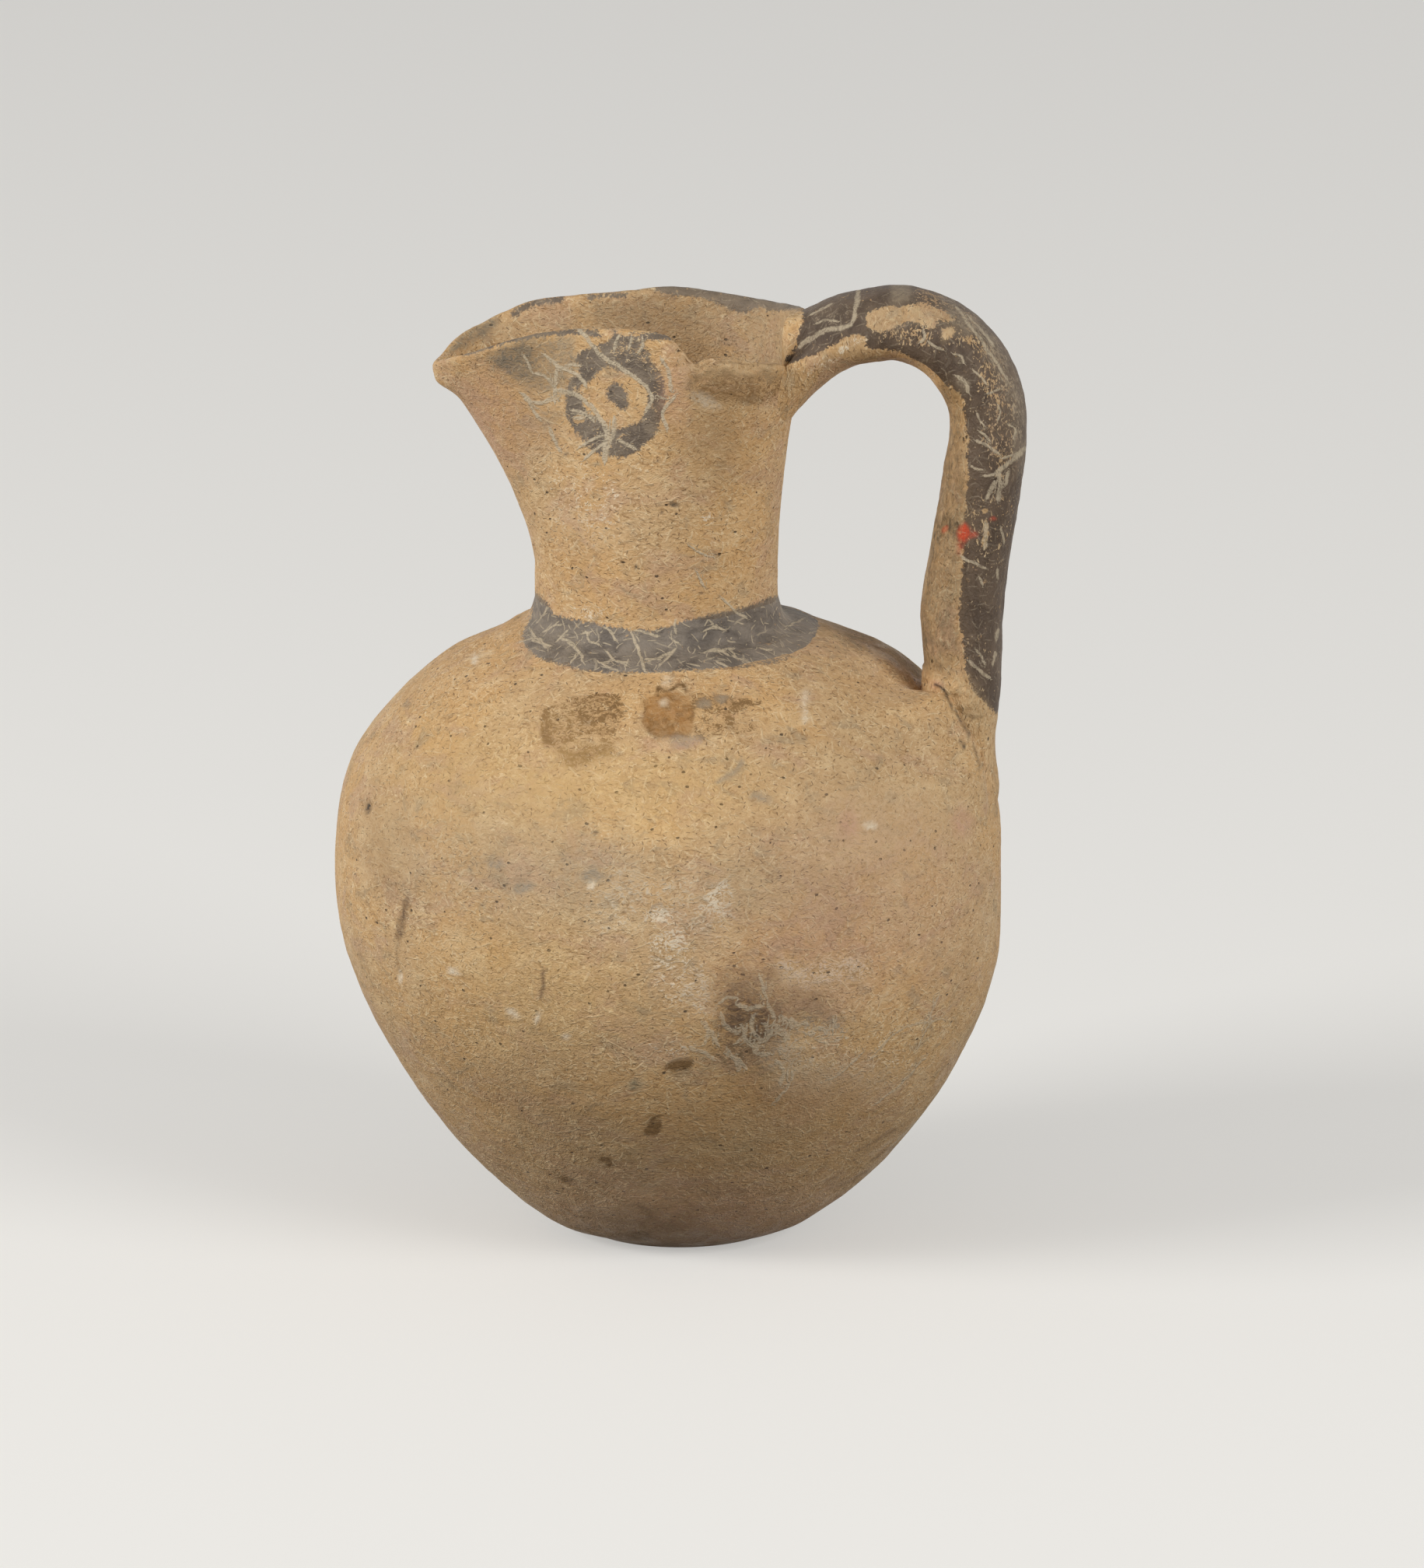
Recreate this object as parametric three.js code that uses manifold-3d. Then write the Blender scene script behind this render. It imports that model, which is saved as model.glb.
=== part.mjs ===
// Hand-built trefoil-mouthed jug of fired clay, made as the potter joined it: a squat round
// body, a neck pinched into a pouring spout, a coil smoothed over their joint, and a strap
// handle with a pad of luting clay at each end.
// Millimetres, +Z up. The origin is the centre of the flat base, the spout points to -X and
// the handle stands at +X.

import * as THREE from 'three';
import { mergeVertices } from 'three/addons/utils/BufferGeometryUtils.js';
import Module from 'manifold-3d';

const wasm = await Module();
wasm.setup();

// Clearance kept between pieces that were pressed together while the clay was soft
const jointGap = 0.3;

// Body: radii of the outer wall at eight stations, and how far each stands above the last
const baseRadius = 16.6;
const footRadius = 25;
const footRise = 4;
const lowerWallRadius = 39.4;
const lowerWallRise = 14;
const underBellyRadius = 52.8;
const underBellyRise = 24;
const bellyRadius = 55.6;
const bellyRise = 16;
const upperWallRadius = 52.4;
const upperWallRise = 22;
const shoulderRadius = 39.4;
const shoulderRise = 15;
const coilFootRadius = 27;
const coilFootRise = 6.5;
const bodyWall = 4;
const baseThickness = 5;
const neckSeatRise = 1.5;
const neckSeatMargin = 0.6;

// The hand-turned body leans a little towards the spout, and the neck stands off its centre
const bodyLean = 2;
const leanStart = 25;
const leanEnd = 62;
const neckOffset = 1.9;

// Neck: a plain tube that flares into the mouth
const neckRadius = 20.05;
const neckWall = 3.6;
const lipWall = 2.9;
const lipRound = 0.75;
const flareStart = 10;
const flarePower = 1.5;

// Mouth rim, half of it, seen from above: forward is measured from the neck axis towards the
// spout, side to either side of it, and height from the neck seat
const spoutReach = 37.3;
const spoutTipHeight = 43.7;
const spoutHalfWidth = 13.8;
const spoutShoulderHeight = 50.2;
const pinchHalfWidth = 13.4;
const pinchHeight = 52;
const rimPeakHeight = 53.4;
const bowlHalfWidth = 20.3;
const rimDipHeight = 51.4;
const mouthBack = 25.3;
const mouthBackHeight = 53.4;
const rimStations = [
  { forward: spoutReach, side: 0, height: spoutTipHeight },
  { forward: spoutReach - 2.3, side: 6.2, height: spoutTipHeight + 1.7 },
  { forward: spoutReach - 6.7, side: 11, height: spoutTipHeight + 3.7 },
  { forward: 23.8, side: spoutHalfWidth, height: spoutShoulderHeight },
  { forward: 16, side: pinchHalfWidth, height: pinchHeight },
  { forward: 8, side: 15.6, height: 52.9 },
  { forward: 0, side: 18.9, height: rimPeakHeight },
  { forward: -9, side: bowlHalfWidth, height: 52.6 },
  { forward: -17.6, side: 16.9, height: rimDipHeight },
  { forward: 1.9 - mouthBack, side: 9.4, height: mouthBackHeight - 1.2 },
  { forward: -mouthBack, side: 0, height: mouthBackHeight },
];

// Old break in the near side of the rim, behind the painted eye
const brokenLipDepth = 3.7;
const brokenLipFront = 6.5;
const brokenLipBack = 25;
const brokenLipRun = 4;

// Coil of clay smoothed over the joint of neck and body
const coilRise = 4.5;
const coilTopThickness = 0.6;
const coilThroat = { beyondNeck: 1, aboveSeat: 0.9 };

// Handle: centre line of the strap, as points right of and above the back of the rim, and
// then right of and above the place on the shoulder where its foot stands
const handleFootHeight = 85.6;
const handleUpperPoints = [
  { right: 8.6, above: -2.8 },
  { right: 15, above: -2.1 },
  { right: 21.8, above: -4.3 },
  { right: 26.8, above: -8.5 },
  { right: 29.4, above: -13.7 },
  { right: 29.7, above: -19.7 },
];
const handleLowerPoints = [
  { right: 2.8, above: 41.4 },
  { right: 1.2, above: 31.4 },
  { right: 0, above: 21.4 },
  { right: 0, above: 12.4 },
];
const handleThickness = 12.8;
const handleWidth = 17.4;
const handleRoundness = 2.3;

// Luting clay at the handle's ends: how far each pad spreads over the wall, how deep its
// hidden side is drawn before the wall is cut away, and how stiffly it leaves the strap and
// lands on the wall, as shares of the way between them
const upperPadHalfWidth = 12;
const upperPadBelowRim = 20;
const lowerPadHalfWidth = 9.4;
const lowerPadAbove = 9;
const lowerPadBelow = 17.5;
const padDepth = 2;
const padLeavingPull = 0.45;
const padLandingPull = 0.3;

// Colours of the fired clay and of the worn painted slip
const buffClay = 0xc19a67;
const darkSlip = 0x57504a;

// How finely the round forms are faceted
const aroundBody = 44;
const alongBody = 17;
const aroundRimSpan = 3;
const alongNeck = 9;
const aroundHandle = 18;
const alongHandle = 28;
const alongPad = 7;
const alongCoil = 5;

const smooth = (from, to, value) => THREE.MathUtils.smoothstep(value, from, to);

// Closed solids

function solidFromGeometry(geometry) {
  geometry.deleteAttribute('normal');
  geometry.deleteAttribute('uv');
  const merged = mergeVertices(geometry, 1e-5);
  const kept = [];
  const index = merged.index.array;
  for (let i = 0; i < index.length; i += 3) {
    const [a, b, c] = [index[i], index[i + 1], index[i + 2]];
    if (a !== b && b !== c && c !== a) kept.push(a, b, c);
  }
  const mesh = new wasm.Mesh({
    numProp: 3,
    vertProperties: merged.attributes.position.array,
    triVerts: Uint32Array.from(kept),
  });
  return new wasm.Manifold(mesh);
}

function geometryFromSolid(solid) {
  const mesh = solid.getMesh();
  const geometry = new THREE.BufferGeometry();
  geometry.setAttribute('position', new THREE.BufferAttribute(mesh.vertProperties, 3));
  geometry.setIndex(new THREE.BufferAttribute(mesh.triVerts, 1));
  geometry.computeVertexNormals();
  return geometry;
}

// A skin through rings of equally many points, closed at both ends or joined end to end
function loftSolid(rings, joined = false) {
  const perRing = rings[0].length;
  const points = rings.flat();
  const faces = [];
  const spans = joined ? rings.length : rings.length - 1;
  for (let i = 0; i < spans; i += 1) {
    const here = i * perRing;
    const next = ((i + 1) % rings.length) * perRing;
    for (let j = 0; j < perRing; j += 1) {
      const k = (j + 1) % perRing;
      faces.push(here + j, next + j, next + k, here + j, next + k, here + k);
    }
  }
  if (!joined) {
    closeEnd(points, faces, rings[0], 0, false);
    closeEnd(points, faces, rings.at(-1), (rings.length - 1) * perRing, true);
  }
  const geometry = new THREE.BufferGeometry().setFromPoints(points);
  geometry.setIndex(faces);
  return solidFromGeometry(geometry);
}

function closeEnd(points, faces, ring, first, atEnd) {
  const middle = new THREE.Vector3();
  ring.forEach((point) => middle.addScaledVector(point, 1 / ring.length));
  points.push(middle);
  const centre = points.length - 1;
  for (let j = 0; j < ring.length; j += 1) {
    const here = first + j;
    const next = first + ((j + 1) % ring.length);
    if (atEnd) faces.push(centre, next, here);
    else faces.push(centre, here, next);
  }
}

// Body

const bodyStations = [
  [baseRadius, 0],
  [footRadius, footRise],
  [lowerWallRadius, lowerWallRise],
  [underBellyRadius, underBellyRise],
  [bellyRadius, bellyRise],
  [upperWallRadius, upperWallRise],
  [shoulderRadius, shoulderRise],
  [coilFootRadius, coilFootRise],
];

function stationPoints() {
  let height = 0;
  return bodyStations.map(([radius, rise]) => {
    height += rise;
    return new THREE.Vector3(radius, height, 0);
  });
}

const bodyCurve = new THREE.CatmullRomCurve3(stationPoints(), false, 'centripetal');
const coilFoot = stationPoints().at(-1);
const neckSeatHeight = coilFoot.y + neckSeatRise;
const neckAxis = -(bodyLean + neckOffset);

// How far the wall's centre lies from the origin at a height
function leanAt(height) {
  const bodyPart = bodyLean * smooth(leanStart, leanEnd, height);
  const shoulder = coilFoot.y - coilFootRise;
  return -bodyPart - neckOffset * smooth(shoulder, coilFoot.y, height);
}

// The outer wall's outline, moved outwards by offset along its normal
function bodyOutline(offset) {
  const outline = [];
  for (let i = 0; i <= alongBody; i += 1) {
    const point = bodyCurve.getPoint(i / alongBody);
    const tangent = bodyCurve.getTangent(i / alongBody);
    outline.push(new THREE.Vector2(point.x + tangent.y * offset, point.y - tangent.x * offset));
  }
  return outline;
}

// Radius of the jug's outside at a height: the body's wall, then the slope of the coil, then
// the plain tube of the neck
function wallRadiusAt(height) {
  const coilTop = new THREE.Vector2(neckRadius, neckSeatHeight + coilRise);
  if (height >= coilTop.y) return neckRadius;
  const outline = [...bodyOutline(0), coilTop];
  const above = outline.findIndex((point) => point.y > height);
  const [low, high] = [outline[above - 1], outline[above]];
  return THREE.MathUtils.mapLinear(height, low.y, high.y, low.x, high.x);
}

// A turned form whose centre follows the body's lean
function turnedSolid(profile) {
  const geometry = new THREE.LatheGeometry(profile, aroundBody);
  geometry.rotateX(Math.PI / 2);
  const position = geometry.attributes.position;
  for (let i = 0; i < position.count; i += 1) {
    position.setX(i, position.getX(i) + leanAt(position.getZ(i)));
  }
  return solidFromGeometry(geometry);
}

const seatEdge = new THREE.Vector2(neckRadius + neckSeatMargin, neckSeatHeight);
const boreRadius = neckRadius - neckWall;

function makeBody() {
  const inner = bodyOutline(-bodyWall).filter((point) => point.y > baseThickness);
  const underSeat = neckSeatHeight - bodyWall;
  const hollow = inner.filter((point) => point.x > boreRadius && point.y < underSeat).reverse();
  const profile = [
    new THREE.Vector2(0, 0),
    ...bodyOutline(0),
    seatEdge,
    new THREE.Vector2(boreRadius, neckSeatHeight),
    new THREE.Vector2(boreRadius, underSeat),
    ...hollow,
    new THREE.Vector2(0, baseThickness),
  ];
  return turnedSolid(profile);
}

// The body without its hollow, grown outwards, for cutting what is pressed on it
function bodyCutter(growth) {
  const profile = [
    new THREE.Vector2(0, -growth),
    ...bodyOutline(growth),
    new THREE.Vector2(0, coilFoot.y + growth),
  ];
  return turnedSolid(profile);
}

// Neck

function brokenLip(forward, side) {
  const back = -forward;
  const started = smooth(brokenLipFront, brokenLipFront + brokenLipRun, back);
  const ended = 1 - smooth(brokenLipBack - brokenLipRun, brokenLipBack, back);
  return side > 0 ? 0 : brokenLipDepth * started * ended;
}

// Rim points all the way round, from the spout's tip along the far side and back
function rimPoints() {
  const farSide = rimStations.map(({ forward, side, height }) => (
    new THREE.Vector3(-forward, side, height)
  ));
  const nearSide = farSide.slice(1, -1).reverse().map(({ x, y, z }) => new THREE.Vector3(x, -y, z));
  const outline = new THREE.CatmullRomCurve3([...farSide, ...nearSide], true, 'centripetal');
  const count = (farSide.length + nearSide.length) * aroundRimSpan;
  return Array.from({ length: count }, (_, i) => outline.getPoint(i / count));
}

const rim = rimPoints();

// A point of the neck wall: t runs from the seat to the rim, and offset moves it outwards
function neckPoint(rimPoint, t, offset) {
  const reach = Math.hypot(rimPoint.x, rimPoint.y);
  const height = rimPoint.z * t;
  const flare = Math.max(height - flareStart, 0) / (rimPoint.z - flareStart);
  const radius = neckRadius + (reach - neckRadius) * flare ** flarePower + offset;
  const lowered = t * brokenLip(-rimPoint.x, rimPoint.y);
  const x = neckAxis + (radius * rimPoint.x) / reach;
  return new THREE.Vector3(x, (radius * rimPoint.y) / reach, neckSeatHeight + height - lowered);
}

function neckRing(t, offset, drop = 0) {
  return rim.map((rimPoint) => {
    const point = neckPoint(rimPoint, t, offset);
    point.z -= drop;
    return point;
  });
}

function wallAt(t) {
  return THREE.MathUtils.lerp(neckWall, lipWall, t);
}

function makeNeck() {
  const steps = Array.from({ length: alongNeck + 1 }, (_, i) => i / alongNeck);
  const outside = steps.map((t) => neckRing(t, t === 1 ? -lipRound : 0));
  const lastWall = outside.length - 1;
  outside.splice(lastWall, 0, neckRing(1, 0, lipRound));
  const inside = steps.map((t) => neckRing(t, (t === 1 ? lipRound : 0) - wallAt(t))).reverse();
  inside.splice(1, 0, neckRing(1, -lipWall, lipRound));
  return loftSolid([...outside, ...inside], true);
}

// The neck without its bore, grown outwards, for cutting what is pressed on it
function neckCutter(growth) {
  const steps = Array.from({ length: alongNeck + 1 }, (_, i) => i / alongNeck);
  const rings = steps.map((t) => neckRing(t, growth));
  const lid = neckRing(1, growth, -growth);
  return loftSolid([...rings, lid]);
}

// Coil over the joint of neck and body

// The coil's outside, from its foot on the shoulder to its top edge on the neck
function coilOutline() {
  const inner = neckRadius + jointGap;
  const foot = new THREE.Vector2(coilFoot.x, coilFoot.y + jointGap);
  const top = new THREE.Vector2(inner + coilTopThickness, neckSeatHeight + coilRise);
  const { beyondNeck, aboveSeat } = coilThroat;
  const throat = new THREE.Vector2(inner + beyondNeck, neckSeatHeight + aboveSeat);
  return new THREE.QuadraticBezierCurve(foot, throat, top).getPoints(alongCoil);
}

function makeCoil() {
  const inner = neckRadius + jointGap;
  const outside = coilOutline();
  const seatInside = new THREE.Vector2(seatEdge.x, seatEdge.y + jointGap);
  const profile = [
    new THREE.Vector2(inner, seatInside.y),
    seatInside,
    ...outside,
    new THREE.Vector2(inner, outside.at(-1).y),
    new THREE.Vector2(inner, seatInside.y),
  ];
  return turnedSolid(profile);
}

// The coil without its bore, grown outwards, for cutting what is pressed on it
function coilCutter(growth) {
  const outside = coilOutline();
  const grown = outside.map(({ x, y }) => new THREE.Vector2(x + growth, y + growth));
  const profile = [
    new THREE.Vector2(0, outside[0].y - growth),
    new THREE.Vector2(outside[0].x + growth, outside[0].y - growth),
    ...grown,
    new THREE.Vector2(0, grown.at(-1).y),
  ];
  return turnedSolid(profile);
}

// Handle

const rimBackX = neckAxis + mouthBack;
const rimBackZ = neckSeatHeight + mouthBackHeight;
const handleFootX = wallRadiusAt(handleFootHeight) + leanAt(handleFootHeight);

function handlePoints() {
  const upper = handleUpperPoints.map(({ right, above }) => (
    new THREE.Vector3(rimBackX + right, 0, rimBackZ + above)
  ));
  const lower = handleLowerPoints.map(({ right, above }) => (
    new THREE.Vector3(handleFootX + right, 0, handleFootHeight + above)
  ));
  return [...upper, ...lower];
}

const handleCurve = new THREE.CatmullRomCurve3(handlePoints(), false, 'centripetal');
const across = new THREE.Vector3(0, 1, 0);

// Rounded strap section about a centre: outward is the side away from the vessel
function strapRing(centre, outward, halfThickness, halfWidth) {
  const ring = [];
  for (let j = 0; j < aroundHandle; j += 1) {
    const angle = (j / aroundHandle) * Math.PI * 2;
    const [c, s] = [Math.cos(angle), Math.sin(angle)];
    const u = Math.sign(c) * Math.abs(c) ** (2 / handleRoundness) * halfThickness;
    const v = Math.sign(s) * Math.abs(s) ** (2 / handleRoundness) * halfWidth;
    ring.push(centre.clone().addScaledVector(outward, u).addScaledVector(across, v));
  }
  return ring;
}

function handleRing(t) {
  const tangent = handleCurve.getTangent(t);
  const outward = new THREE.Vector3().crossVectors(across, tangent).negate();
  return strapRing(handleCurve.getPoint(t), outward, handleThickness / 2, handleWidth / 2);
}

function makeHandle() {
  const rings = Array.from({ length: alongHandle + 1 }, (_, i) => handleRing(i / alongHandle));
  return loftSolid(rings);
}

// Pads of luting clay: each starts a joint gap away from the end of the strap and spreads
// along a smooth curve to its print on the wall, then runs padDepth into the wall to be cut

function padRings(startRing, startDirection, printRing, printDirections, inward) {
  const rings = [];
  for (let i = 0; i <= alongPad; i += 1) {
    const t = i / alongPad;
    rings.push(startRing.map((start, j) => {
      const end = printRing[j];
      const pull = start.distanceTo(end);
      const curve = new THREE.CubicBezierCurve3(
        start,
        start.clone().addScaledVector(startDirection, pull * padLeavingPull),
        end.clone().addScaledVector(printDirections[j], -pull * padLandingPull),
        end,
      );
      return curve.getPoint(t);
    }));
  }
  rings.push(printRing.map((point) => point.clone().addScaledVector(inward, padDepth)));
  return rings;
}

function printDirectionsFrom(ring, centre) {
  return ring.map((point) => point.clone().sub(centre).normalize());
}

function makeUpperPad() {
  const start = handleCurve.getPoint(0);
  const tangent = handleCurve.getTangent(0);
  const outward = new THREE.Vector3().crossVectors(across, tangent).negate();
  const startCentre = start.clone().addScaledVector(tangent, -jointGap);
  const startRing = strapRing(startCentre, outward, handleThickness / 2, handleWidth / 2);
  const top = rimBackZ - jointGap;
  const bottom = rimBackZ - upperPadBelowRim;
  const middle = (top + bottom) / 2;
  const printRing = strapRing(new THREE.Vector3(), new THREE.Vector3(0, 0, 1), 1, 1)
    .map(({ y, z }) => {
      const side = y * upperPadHalfWidth;
      const height = middle + (z * (top - bottom)) / 2;
      return new THREE.Vector3(neckBackAt(side, height), side, height);
    });
  const centre = new THREE.Vector3(neckBackAt(0, middle), 0, middle);
  const directions = printDirectionsFrom(printRing, centre);
  const into = new THREE.Vector3(-1, 0, 0);
  const rings = padRings(startRing, tangent.clone().negate(), printRing, directions, into);
  return loftSolid(rings.reverse()).subtract(neckCutter(jointGap));
}

// Where the back of the neck's outer wall lies, at a side distance and a height
function neckBackAt(side, height) {
  const rise = Math.max(height - neckSeatHeight - flareStart, 0);
  const flare = Math.min(rise / (mouthBackHeight - flareStart), 1) ** flarePower;
  const radius = neckRadius + (mouthBack - neckRadius) * flare;
  return neckAxis + Math.sqrt(radius ** 2 - side ** 2);
}

function makeLowerPad() {
  const start = handleCurve.getPoint(1);
  const tangent = handleCurve.getTangent(1);
  const outward = new THREE.Vector3().crossVectors(across, tangent).negate();
  const startCentre = start.clone().addScaledVector(tangent, jointGap);
  const startRing = strapRing(startCentre, outward, handleThickness / 2, handleWidth / 2);
  const middle = handleFootHeight + (lowerPadAbove - lowerPadBelow) / 2;
  const halfHeight = (lowerPadAbove + lowerPadBelow) / 2;
  const printRing = strapRing(new THREE.Vector3(), new THREE.Vector3(0, 0, -1), 1, 1)
    .map(({ y, z }) => {
      const side = y * lowerPadHalfWidth;
      const height = middle + z * halfHeight;
      return new THREE.Vector3(bodySideAt(side, height), side, height);
    });
  const centre = new THREE.Vector3(bodySideAt(0, middle), 0, middle);
  const directions = printDirectionsFrom(printRing, centre);
  const into = new THREE.Vector3(-1, 0, -0.5).normalize();
  const rings = padRings(startRing, tangent, printRing, directions, into);
  return loftSolid(rings)
    .subtract(bodyCutter(jointGap))
    .subtract(coilCutter(jointGap))
    .subtract(neckCutter(jointGap));
}

// Where the jug's outside lies towards the handle, at a side distance and a height
function bodySideAt(side, height) {
  return leanAt(height) + Math.sqrt(wallRadiusAt(height) ** 2 - side ** 2);
}

// Assembly

const jug = new THREE.Group();

function addPiece(name, solid, colour, roughness) {
  const material = new THREE.MeshStandardMaterial({ color: colour, roughness, metalness: 0 });
  const mesh = new THREE.Mesh(geometryFromSolid(solid), material);
  mesh.name = name;
  jug.add(mesh);
}

addPiece('body', makeBody(), buffClay, 0.85);
addPiece('neck', makeNeck(), buffClay, 0.85);
addPiece('neck_coil', makeCoil(), darkSlip, 0.75);
addPiece('handle', makeHandle(), darkSlip, 0.75);
addPiece('upper_handle_pad', makeUpperPad(), buffClay, 0.85);
addPiece('lower_handle_pad', makeLowerPad(), buffClay, 0.85);

export default jug;
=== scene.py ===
import bpy
import numpy as np
from mathutils import Matrix, Vector


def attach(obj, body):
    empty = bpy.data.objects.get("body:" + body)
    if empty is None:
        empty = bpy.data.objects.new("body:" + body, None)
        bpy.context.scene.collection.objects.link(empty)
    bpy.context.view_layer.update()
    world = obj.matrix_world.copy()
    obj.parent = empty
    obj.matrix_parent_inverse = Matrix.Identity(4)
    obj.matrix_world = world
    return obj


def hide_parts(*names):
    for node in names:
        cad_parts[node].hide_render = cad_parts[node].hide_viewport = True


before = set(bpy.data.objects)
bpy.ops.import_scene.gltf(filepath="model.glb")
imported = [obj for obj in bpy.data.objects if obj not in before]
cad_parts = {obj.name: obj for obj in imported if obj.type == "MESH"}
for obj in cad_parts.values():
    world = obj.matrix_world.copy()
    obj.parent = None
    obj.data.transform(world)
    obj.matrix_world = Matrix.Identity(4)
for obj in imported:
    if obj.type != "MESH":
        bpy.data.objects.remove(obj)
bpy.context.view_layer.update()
print("frame loaded with", len(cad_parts), "solids")

metre = 0.001  # shapes are worked out in millimetres and scaled as they become meshes

# camera

camera = dict(
    tilt=14.5,  # degrees down
    turn=7.0,  # degrees towards the handle
    distance=1900.0,
    aim=(5.4186, 0.0, 75.681),
    focalPixels=14678.8,
    photoSize=(1831, 2016),
    sensorHeight=36.0,
)


def viewAxes():
    # right, up and backward unit vectors of the camera, from its tilt and turn
    tilt, turn = np.radians(camera["tilt"]), np.radians(camera["turn"])
    right = np.array([np.cos(turn), np.sin(turn), 0.0])
    back = np.array([
        np.sin(turn) * np.cos(tilt),
        -np.cos(turn) * np.cos(tilt),
        np.sin(tilt),
    ])
    return right, np.cross(back, right), back


viewRight, viewUp, viewBack = viewAxes()
viewPlace = np.array(camera["aim"]) + camera["distance"] * viewBack


def photoPlace(points):
    # pixel = middle of the photo + focal length * sideways distance / depth
    away = points - viewPlace
    depth = -(away @ viewBack)
    width, height = camera["photoSize"]
    across = width / 2 + camera["focalPixels"] * (away @ viewRight) / depth
    down = height / 2 - camera["focalPixels"] * (away @ viewUp) / depth
    return np.stack([across, down], axis=-1)


def makeCamera():
    lens = bpy.data.cameras.new("photoCamera")
    lens.sensor_fit = "VERTICAL"
    lens.sensor_height = camera["sensorHeight"]
    lens.lens = camera["focalPixels"] / camera["photoSize"][1] * camera["sensorHeight"]
    lens.clip_end = 20
    seen = addObject("photoCamera", lens)
    turned = Matrix([list(row) for row in np.stack([viewRight, viewUp, viewBack], axis=1)])
    seen.matrix_world = Matrix.Translation(viewPlace * metre) @ turned.to_4x4()
    bpy.context.scene.camera = seen
    print("camera placed")


# curves and noise as whole arrays


def smoothStep(low, high, value):
    # 0 below low, 1 above high, and 3x^2 - 2x^3 between them
    share = np.clip((value - low) / (high - low), 0, 1)
    return share * share * (3 - 2 * share)


def pairs(numbers):
    # x, y, x, y and so on as rows of two
    return np.reshape(numbers, (-1, 2)).astype(float)


def smoothCurve(points, count, closed=False):
    # Catmull-Rom curve through the points, with knots spaced by the square root of distance
    points = np.asarray(points, float)
    spans = len(points) if closed else len(points) - 1
    place = np.linspace(0, spans, count, endpoint=not closed)
    first = np.minimum(place.astype(int), spans - 1)
    share = (place - first)[:, None]
    if closed:
        padded = points[np.arange(-1, len(points) + 2) % len(points)]
    else:
        padded = np.vstack([2 * points[0] - points[1], points, 2 * points[-1] - points[-2]])
    p0, p1, p2, p3 = (padded[first + shift] for shift in range(4))
    steps = (p1 - p0, p2 - p1, p3 - p2)
    g0, g1, g2 = (np.linalg.norm(step, axis=1, keepdims=True) ** 0.5 for step in steps)
    leaving = ((p1 - p0) / g0 - (p2 - p0) / (g0 + g1) + (p2 - p1) / g1) * g1
    arriving = ((p2 - p1) / g1 - (p3 - p1) / (g1 + g2) + (p3 - p2) / g2) * g1
    square, cube = share**2, share**3
    return (
        (2 * cube - 3 * square + 1) * p1
        + (cube - 2 * square + share) * leaving
        + (3 * square - 2 * cube) * p2
        + (cube - square) * arriving
    )


def evenlySpaced(line, count, closed=False):
    # the same line with count points, equally far apart along it
    if closed:
        line = np.vstack([line, line[:1]])
    steps = np.linalg.norm(np.diff(line, axis=0), axis=1)
    along = np.concatenate([[0], np.cumsum(steps)])
    wanted = np.linspace(0, along[-1], count, endpoint=not closed)
    return np.stack([np.interp(wanted, along, line[:, k]) for k in range(line.shape[1])], axis=1)


def unit(vectors):
    return vectors / np.linalg.norm(vectors, axis=-1, keepdims=True)


def latticeValue(corner, seed):
    # a fixed number from 0 to 1 for each whole-number corner of the lattice
    mixed = corner[..., 0] * 374761393 + corner[..., 1] * 668265263 + corner[..., 2] * 1440662683
    mixed = (mixed + seed * 974634777) & 0xFFFFFFFF
    mixed = ((mixed ^ (mixed >> 13)) * 1274126177) & 0xFFFFFFFF
    return ((mixed ^ (mixed >> 16)) & 0xFFFFFF) / 0xFFFFFF


def cellNoise(points, cell, seed):
    # lattice values blended smoothly inside each cell, from -1 to 1
    scaled = points / cell
    corner = np.floor(scaled).astype(np.int64)
    share = scaled - corner
    share = share * share * (3 - 2 * share)
    weights = [(1 - share[..., axis], share[..., axis]) for axis in range(3)]
    total = np.zeros(points.shape[:-1])
    for i, j, k in np.ndindex(2, 2, 2):
        weight = weights[0][i] * weights[1][j] * weights[2][k]
        total += weight * latticeValue(corner + np.array([i, j, k]), seed)
    return total * 2 - 1


def layeredNoise(points, cell, layers, seed):
    # each layer has half the cell and half the height of the one before
    total = np.zeros(points.shape[:-1])
    for layer in range(layers):
        total += cellNoise(points, cell / 2**layer, seed + layer) / 2**layer
    return total


def gridNormals(grid):
    # cross product of the two grid directions; the second one runs round and closes
    along = np.gradient(grid, axis=0)
    around = np.roll(grid, -1, axis=1) - np.roll(grid, 1, axis=1)
    normal = np.cross(around, along)
    return normal / np.maximum(np.linalg.norm(normal, axis=-1, keepdims=True), 1e-12)


# marks on the clay, placed where the photo shows them


def tone(red, green, blue):
    # screen colour from 0 to 255, as the linear colour that a shader takes
    value = np.array([red, green, blue]) / 255
    return np.where(value <= 0.04045, value / 12.92, ((value + 0.055) / 1.055) ** 2.4)


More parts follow.
